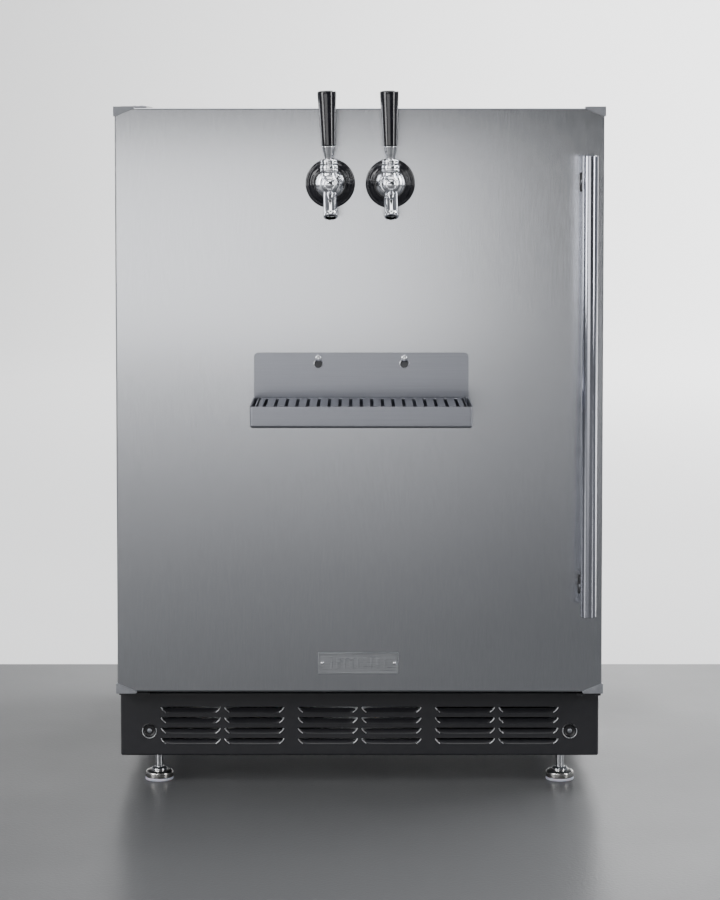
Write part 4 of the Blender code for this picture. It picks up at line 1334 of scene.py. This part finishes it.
# %% [markdown]
# ## Hinges and stop bracket
#
# Steel plates carry the door's pins on the left. On the free side a short angle bracket stands under the
# door's lower corner, held by two screws. The bracket is a folded strip: one outline bent by `rounded`,
# drawn sideways.

# %% Bracket and hinge screws
low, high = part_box("stop_bracket")
STRIP = 0.0028
outer_bend = rounded([(low.y, high.z), (high.y, high.z), (high.y, low.z)], 0.0045, steps=5)
inner_line = [(high.y - STRIP, low.z), (high.y - STRIP, high.z - STRIP), (low.y, high.z - STRIP)]
inner_bend = rounded(inner_line, 0.002, steps=5)
bracket = extruded([tuple(point) for point in (*outer_bend, *inner_bend)], "X", low.x, high.x, 0.0003)
piece("stop_angle", bracket, "black_plastic", "cabinet", ["stop_bracket"])
for index, x in enumerate((low.x + 0.0065, high.x - 0.0055)):
    downward = Matrix.Translation((x, low.y + 0.010, high.z - STRIP)) @ Matrix.Rotation(math.pi, 4, "X")
    head = screw_head(0.0030, 0.0022, downward)
    piece(f"stop_screw_{index + 1}", head, "zinc", "cabinet")

low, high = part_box("upper_hinge")
for index, spot in enumerate(((-0.012, -0.010), (-0.012, -0.034), (-0.022, -0.022))):
    place = Matrix.Translation((high.x + spot[0] + 0.002, high.y + spot[1], high.z))
    piece(f"hinge_screw_{index + 1}", screw_head(0.0030, 0.0018, place), "zinc", "cabinet")
print("bracket", round(1000 * (high.x - low.x)), "mm")

# %% [markdown]
# ## Gasket and cavity fittings
#
# With the door open the inside shows. A magnetic gasket runs round the door: a soft bellows that squeezes
# flat on closing, drawn as one folded section mitred round a rectangle. The cavity has a lamp, a thermostat
# dial with plain ticks, and a cover over the evaporator with a guarded fan.

# %% Gasket
low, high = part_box("door_gasket")
depth = high.y - low.y
outer_folds = [(0.0, 0.02), (0.0, 0.16), (0.0018, 0.24), (0.0004, 0.40), (0.0026, 0.50), (0.0004, 0.62)]
crown = [(0.0, 0.76), (0.0012, 0.96), (0.0060, 1.0), (0.0140, 1.0), (0.0188, 0.96), (0.0200, 0.76)]
inner_folds = [(0.0196, 0.62), (0.0174, 0.50), (0.0196, 0.40), (0.0182, 0.24), (0.0200, 0.16), (0.0200, 0.02)]
section = outer_folds + crown + inner_folds + [(0.0150, 0.0), (0.0050, 0.0)]
section = [(inset, low.y + share * depth) for inset, share in section]
seal = border(rounded(section, 0.0006, True, 2), high.x, low.z, high.z)
piece("gasket_bellows", seal, "gasket_rubber", "door", ["door_gasket"])

# %% [markdown]
# The dial is a turned knob with twelve flutes cut into its edge for the fingers, and a white pointer. Its
# ticks grow longer clockwise, so that it can be read without any lettering.

# %% Thermostat dial
dial = joints["thermostat_turn"]["pos_m"]
grip = [
    (0, 0),
    (0.0145, 0),
    (0.0147, 0.0022),
    (0.0132, 0.0034),
    (0.0118, 0.0120),
    (0.0108, 0.0130),
    (0, 0.0130),
]
knob = turned(grip, 0.0006, 56, FORWARD)
flutes = []
for index in range(12):
    around = Matrix.Rotation(math.tau * (index + 0.5) / 12, 4, "Y")
    at_edge = around @ Matrix.Translation((0, 0, 0.0142)) @ FORWARD
    flutes.append(cylinder(0.0022, 0.0045, 0.0200, at_edge, 20, 0.0004))
knob = cut(knob, joined(*flutes))
pointer = block((-0.0007, -0.0133, 0.0030), (0.0007, -0.0126, 0.0106), 0.0002)
stem = cylinder(0.0030, -0.0115, 0.001, FORWARD)
place = Matrix.Translation(dial)
piece("dial_grip", joined(knob, stem), "black_plastic", "thermostat_knob", ["control_knob"], place)
piece("dial_pointer", pointer, "white_plastic", "thermostat_knob", (), place)
box_low, box_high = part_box("control_box")
ticks = []
for index in range(7):
    around = Matrix.Rotation(math.radians(-120 + 40 * index), 4, "Y")
    tick = block((-0.0004, -0.0003, 0.0158), (0.0004, 0.0003, 0.0176 + 0.0003 * index), 0.0001)
    tick.transform(Matrix.Translation((dial[0], box_low.y, dial[2])) @ around)
    ticks.append(tick)
piece("dial_ticks", joined(*ticks), "black_plastic", "cabinet")
print(len(flutes), "flutes and", len(ticks), "ticks")

# %% [markdown]
# Under the same housing sits the lamp, a ribbed lens over the bulb. On the cavity's left wall a rubber
# grommet closes the hole for a gas line.

# %% Lamp and grommet
lamp = block(
    (box_low.x + 0.012, box_low.y + 0.045, box_low.z - 0.0055),
    (box_high.x - 0.012, box_high.y - 0.012, box_low.z),
    0.0022,
    3,
)
piece("lamp_cover", lamp, "lamp_lens", "cabinet")
liner_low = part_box("cabinet_liner")[0]
grommet = turned([(0.006, 0), (0.013, 0), (0.013, 0.002), (0.009, 0.004), (0.006, 0.004)], 0.0006, 40)
left_wall = Matrix.Translation((liner_low.x + 0.0021, 0.10, 0.60))
grommet.transform(left_wall @ Matrix.Rotation(math.radians(90), 4, "Y"))
piece("gas_line_grommet", grommet, "gasket_rubber", "cabinet")
print("lamp cover", round(box_high.x - box_low.x - 0.024, 3), "m long")

# %% [markdown]
# ## Fans and guards
#
# Both fans are the same idea at two sizes. A blade is a small surface whose pitch eases from root to tip,
# given thickness and copied round a hub. The guard is bent from wire rings and spokes.

# %% Fans
def blade_shape(radius, hub, width):
    """One blade, standing up from the hub, steep at its root and flatter at its tip."""
    shape = bmesh.new()
    rows = []
    for i in range(7):
        t = i / 6
        r = hub * 0.9 + (radius - hub * 0.9) * t
        pitch = math.radians(42 - 20 * t)
        chord = width * (0.75 + 0.45 * math.sin(math.pi * min(1, t * 0.9)))
        row = []
        for j in range(7):
            s = j / 6 - 0.5
            sweep = 0.35 * t * t
            camber = 0.10 * chord * (1 - 4 * s * s)
            along = chord * s * math.cos(pitch)
            deep = chord * s * math.sin(pitch) + camber
            turn = along / max(r, 1e-4) + sweep
            row.append(shape.verts.new((r * math.sin(turn), deep, r * math.cos(turn))))
        rows.append(row)
    for lower, upper in zip(rows, rows[1:]):
        for j in range(6):
            shape.faces.new((lower[j], lower[j + 1], upper[j + 1], upper[j]))
    return thickened(shape, 0.0012)


def fan(name, node_name, body, joint, hub):
    low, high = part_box(node_name)
    radius = (high.z - low.z) / 2 * 0.98
    half = (high.y - low.y) / 2
    profile = [(0, -half), (hub * 0.9, -half), (hub, -half * 0.6), (hub, half), (0, half)]
    shapes = [turned(profile, 0.0012, 48, FORWARD)]
    for index in range(5):
        blade = blade_shape(radius, hub, radius * 0.62)
        depth = max(abs(v.co.y) for v in blade.verts)
        blade.transform(Matrix.Diagonal((1, min(1, 0.96 * half / depth), 1, 1)))
        blade.transform(Matrix.Rotation(math.tau * index / 5, 4, "Y"))
        shapes.append(blade)
    place = Matrix.Translation(joints[joint]["pos_m"])
    piece(name, joined(*shapes), "black_plastic", body, [node_name], place)


def guard(name, centre, radius, rings, wire_radius, bulge):
    shapes = []
    for ring in range(1, rings + 1):
        r = radius * ring / rings
        y = -bulge * (1 - (ring / rings) ** 2)
        shapes.append(pipe([(x, y, z) for x, z in circle(r, 48)], wire_radius, closed=True))
    for index in range(4):
        spoke = [(0.2 * radius, -bulge * 0.96, 0), (0.6 * radius, -bulge * 0.64, 0), (radius, 0, 0)]
        shape = pipe([(x, y - 2 * wire_radius, z) for x, y, z in spoke], wire_radius)
        shape.transform(Matrix.Rotation(math.tau * (index + 0.5) / 4, 4, "Y"))
        shapes.append(shape)
    piece(name, moved(joined(*shapes), *centre), "zinc", "cabinet")


fan("cold_fan_wheel", "evaporator_fan", "cold_fan", "cold_fan_spin", 0.013)
fan("hot_fan_wheel", "condenser_fan", "hot_fan", "hot_fan_spin", 0.018)
cold = joints["cold_fan_spin"]["pos_m"]
cover_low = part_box("evaporator_cover")[0]
guard("cold_fan_guard", (cold[0], cover_low.y - 0.0012, cold[2]), 0.046, 4, 0.0009, 0.004)
print("the cold fan turns about", [round(v, 4) for v in cold])

# %% [markdown]
# ## The cooling machinery
#
# Behind the grille and the rear vents sit a black enamelled compressor pot and a tube-and-fin condenser.
# They are only glimpsed, so they are built simply but as what they are: a pressed pot with a welded seam
# and a terminal cover, thin fins on a serpentine copper tube, and soft copper lines between them.

# %% Compressor
low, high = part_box("compressor")
pan_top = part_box("base_pan")[0].z + 0.0018
pot_centre = ((low.x + high.x) / 2, (low.y + high.y) / 2)
foot_z = pan_top + 0.010
pot = turned(
    [
        (0, foot_z + 0.001),
        (0.044, foot_z + 0.001),
        (0.058, foot_z + 0.012),
        (0.061, foot_z + 0.036),
        (0.061, foot_z + 0.069),
        (0.0645, foot_z + 0.070),
        (0.0645, foot_z + 0.077),
        (0.061, foot_z + 0.078),
        (0.058, foot_z + 0.106),
        (0.047, foot_z + 0.122),
        (0.028, foot_z + 0.131),
        (0, foot_z + 0.1335),
    ],
    0.004,
    72,
    Matrix.Translation((*pot_centre, 0)),
)
saddle = block((low.x, low.y + 0.014, foot_z - 0.002), (high.x, high.y - 0.014, foot_z + 0.001), 0.0008)
cover = block(
    (pot_centre[0] + 0.052, pot_centre[1] - 0.020, foot_z + 0.030),
    (pot_centre[0] + 0.072, pot_centre[1] + 0.020, foot_z + 0.066),
    0.003,
    3,
)
piece("compressor_pot", joined(pot, saddle), "enamel", "cabinet", ["compressor"])
piece("terminal_cover", cover, "black_plastic", "cabinet")
MOUNT_EDGE = [(0.0095, 0), (0.0095, 0.003), (0.0075, 0.0045), (0.0095, 0.006), (0.0085, 0.0085)]
mounts = []
for x in (low.x + 0.011, high.x - 0.011):
    for y in (low.y + 0.024, high.y - 0.024):
        mounts.append(turned([(0, 0), *MOUNT_EDGE, (0, 0.0085)], 0.0008, 32, Matrix.Translation((x, y, pan_top))))
piece("compressor_mounts", joined(*mounts), "gasket_rubber", "cabinet")
print("the pot stands on", len(mounts), "rubber mounts")

# %% [markdown]
# The condenser is a stack of thin plates with one copper tube that runs back and forth through them. The
# tube is a line of points with a wide bend at each turn. Another bent tube brings it hot gas from the
# compressor.

# %% Condenser and its tubes

low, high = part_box("condenser")
fin_shapes = []
FIN_COUNT = 38
FIN_HALF = 0.00015
for index in range(FIN_COUNT):
    x = low.x + 0.006 + (high.x - low.x - 0.012) * index / (FIN_COUNT - 1)
    fin_low = (x - FIN_HALF, low.y + 0.002, low.z + 0.002)
    fin_shapes.append(block(fin_low, (x + FIN_HALF, high.y - 0.002, high.z - 0.004)))
piece("condenser_fins", joined(*fin_shapes), "fins", "cabinet", ["condenser"])
run = []
ROWS = 7
for row in range(ROWS):
    z = low.z + 0.016 + (high.z - low.z - 0.036) * row / (ROWS - 1)
    ends = (low.x + 0.001, high.x - 0.001)
    near, far = ends if row % 2 == 0 else ends[::-1]
    y = (low.y + high.y) / 2
    run += [(near, y, z), (far, y, z)]
coil = pipe(run, 0.0031, 0.009)
piece("condenser_coil", coil, "copper", "cabinet")
discharge = pipe(
    [
        (pot_centre[0] + 0.035, pot_centre[1] - 0.030, foot_z + 0.110),
        (pot_centre[0] + 0.050, pot_centre[1] - 0.044, foot_z + 0.140),
        (pot_centre[0] + 0.110, low.y + 0.018, foot_z + 0.140),
        (low.x - 0.008, low.y + 0.019, high.z - 0.020),
        (low.x + 0.004, low.y + 0.019, high.z - 0.020),
    ],
    0.0025,
    0.014,
)
piece("discharge_line", discharge, "copper", "cabinet")
print(FIN_COUNT, "fins and", ROWS, "tube rows")

# %% [markdown]
# A shroud makes the fan draw its air through the fins and nowhere else: a flat plate with one round hole.
# Three bent wire arms hold the motor behind the fan.

# %% Shroud and motor
hot = joints["hot_fan_spin"]["pos_m"]
fan_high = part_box("condenser_fan")[1]
shroud_y = high.y + 0.0020
shroud = plate(
    rectangle(low.x, 0.052, high.x, 0.2215, 0.004),
    [circle(0.0735, 64, hot[0], hot[2])],
    0.0012,
    0.0002,
    Matrix.Translation((0, shroud_y + 0.0008, 0)) @ FORWARD,
)
piece("condenser_shroud", shroud, "black_plastic", "cabinet")
motor_place = Matrix.Translation((hot[0], fan_high.y + 0.0242, hot[2])) @ FORWARD
motor = cylinder(0.016, 0.0, 0.022, motor_place, 40, 0.002)
arms = []
for index in range(3):
    turn = math.tau * index / 3 + math.pi / 2
    tip = (hot[0] + 0.071 * math.cos(turn), shroud_y + 0.004, hot[2] + 0.071 * math.sin(turn))
    knee = (hot[0] + 0.071 * math.cos(turn), fan_high.y + 0.012, hot[2] + 0.071 * math.sin(turn))
    arms.append(pipe([tip, knee, (hot[0], fan_high.y + 0.012, hot[2])], 0.0018, 0.006))
piece("hot_fan_motor", joined(motor, *arms), "black_plastic", "cabinet")
print("the motor hangs on", len(arms), "arms")

# %% [markdown]
# ## Back panel hardware
#
# The back is the working side: a vented sheet held by a line of screws, and the mains inlet with its three
# pins. No lead is plugged in.

# %% Screws and pins on the back
low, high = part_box("back_panel")
BACKWARD = Matrix.Rotation(math.radians(-90), 4, "X")
spots = [(x, z) for x in (low.x + 0.010, high.x - 0.010) for z in (0.060, 0.250, 0.440, 0.630, 0.820)]
spots += [(x, high.z - 0.010) for x in (-0.15, 0.0, 0.15)]
heads = [screw_head(0.0036, 0.0020, Matrix.Translation((x, high.y - 0.0002, z)) @ BACKWARD) for x, z in spots]
piece("back_screws", joined(*heads), "zinc", "cabinet")
low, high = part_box("power_inlet")
inlet_x, inlet_z = (low.x + high.x) / 2, (low.z + high.z) / 2
pins = []
for x, z in ((-0.007, 0.0015), (0.007, 0.0015), (0, -0.0035)):
    pin_low = (inlet_x + x - 0.001, high.y - 0.018, inlet_z + z - 0.002)
    pins.append(block(pin_low, (inlet_x + x + 0.001, high.y - 0.003, inlet_z + z + 0.002), 0.0004))
piece("inlet_pins", joined(*pins), "zinc", "cabinet")
print(len(spots), "screws on the back")

# %% [markdown]
# ## The studio
#
# Steel and chrome look like whatever surrounds them, so the room is part of the finish. A grey floor in
# front gives the door its dark lower half, and a pale sweep behind keeps the outline clear. The floor's
# colour is painted to drift from pale, far in front, to dark under the object, because the door mirrors all
# of it: painted light and shade in place of the lamps' fall-off. The backdrop is painted a little darker
# towards its far, upper part, which is painted shade too.

# %% Floor and backdrop
def stage_surface(name, shape, near, far, fade, roughness):
    """A studio surface whose colour is painted to drift along y, from near to far between the two y values of
    fade: painted light and shade.
    """
    material = new_finish(name, near, roughness[0], Specular_IOR_Level=0.14)
    vary(material, grain(material, (3, 3, 3), 5), roughness)
    emboss(material, grain(material, (260, 260, 260), 2), 0.0002)
    shader = material.node_tree.nodes["Principled BSDF"]
    # painted light and shade: the colour is mixed from near to far along the surface's y
    place = node(material, "TexCoord")
    split = node(material, "SeparateXYZ")
    spread = node(material, "MapRange", interpolation_type="SMOOTHSTEP")
    spread.inputs["From Min"].default_value, spread.inputs["From Max"].default_value = fade
    mix = node(material, "Mix", data_type="RGBA")
    for socket, colour in zip([s for s in mix.inputs if s.type == "RGBA"], (near, far)):
        socket.default_value = (*colour, 1)
    wire(material, place.outputs["Object"], split.inputs["Vector"])
    wire(material, split.outputs["Y"], spread.inputs["Value"])
    wire(material, spread.outputs["Result"], mix.inputs["Factor"])
    wire(material, [s for s in mix.outputs if s.type == "RGBA"][0], shader.inputs["Base Color"])
    mesh = bpy.data.meshes.new(name)
    shape.to_mesh(mesh)
    shape.free()
    mesh.shade_smooth()
    mesh.materials.append(material)
    obj = bpy.data.objects.new(name, mesh)
    scene.collection.objects.link(obj)


def sweep_strip(line, half_width):
    """A strip along a (y, z) line."""
    shape = bmesh.new()
    rows = [[shape.verts.new((x, y, z)) for x in (-half_width, half_width)] for y, z in line]
    for (a, b), (c, d) in zip(rows, rows[1:]):
        shape.faces.new((a, b, d, c))
    return shape


FLOOR_EDGE = 0.56
floor_shape = sweep_strip([(-10, 0), (FLOOR_EDGE, 0)], 10)
# painted shade: dark near the object, pale far in front, in place of the lamps' fall-off
stage_surface("floor", floor_shape, (0.46, 0.46, 0.47), (0.095, 0.097, 0.100), (-7.0, -1.0), (0.30, 0.38))
back_line = rounded([(FLOOR_EDGE, -0.0005), (9.0, -0.0005), (9.0, 7.0)], 2.5, steps=16)
backdrop_shape = sweep_strip(back_line, 10)
# painted shade: the backdrop is a little darker towards its far, upper part
stage_surface("backdrop", backdrop_shape, (0.86, 0.86, 0.86), (0.80, 0.80, 0.80), (1.0, 8.0), (0.8, 0.9))
print("floor and backdrop meet", FLOOR_EDGE, "m behind the centre")

# %% [markdown]
# Large soft lights stand to the left and right; the left one is stronger, so that side of the brushed door
# glows. A wide low light far in front is there to be mirrored in the door, and others light the floor and
# the backdrop. They are hidden from the camera but not from reflections. The world is dimmer in front than
# behind.

# %% Lights
def soft_light(name, place, aim, size, power):
    """A rectangular area light that points at aim."""
    light = bpy.data.lights.new(name, "AREA")
    light.shape = "RECTANGLE"
    light.size, light.size_y = size
    light.energy = power
    obj = bpy.data.objects.new(name, light)
    scene.collection.objects.link(obj)
    obj.location = place
    obj.rotation_euler = (Vector(aim) - Vector(place)).to_track_quat("-Z", "Y").to_euler()
    obj.visible_camera = False


soft_light("door_glow", (-1.9, -7.0, 0.44), (-1.9, 0, 0.44), (4.6, 0.84), 30)
soft_light("front_pool", (-2.4, -5.2, 2.6), (-2.2, -5.0, 0), (2.0, 2.4), 130)
soft_light("key_left", (-3.3, -2.4, 1.7), (0, 0, 0.5), (1.5, 2.8), 105)
soft_light("edge_right", (3.3, -2.4, 1.7), (0, 0, 0.5), (0.7, 2.8), 75)
soft_light("overhead", (0, -0.1, 3.2), (0, 0, 0), (3.0, 1.6), 40)
soft_light("floor_fill", (0, -2.1, 2.9), (0, -0.9, 0), (1.8, 0.6), 14)
soft_light("backdrop_low", (3.2, 2.6, 4.5), (2.6, 2.2, 0), (6, 2.5), 680)
soft_light("backdrop_high", (3.0, 5.6, 4.0), (2.4, 9, 1.2), (4, 2), 620)

world = bpy.data.worlds.new("studio")
scene.world = world
world.use_nodes = True
tree = world.node_tree
background = tree.nodes["Background"]
background.inputs["Color"].default_value = (0.84, 0.87, 0.93, 1)
place = tree.nodes.new("ShaderNodeTexCoord")
split = tree.nodes.new("ShaderNodeSeparateXYZ")
spread = tree.nodes.new("ShaderNodeMapRange")
spread.inputs["From Min"].default_value = -1.0
spread.inputs["From Max"].default_value = 0.4
spread.inputs["To Min"].default_value = 0.07
spread.inputs["To Max"].default_value = 0.38
tree.links.new(place.outputs["Generated"], split.inputs["Vector"])
tree.links.new(split.outputs["Y"], spread.inputs["Value"])
tree.links.new(spread.outputs["Result"], background.inputs["Strength"])
print(len(bpy.data.lights), "soft lights")
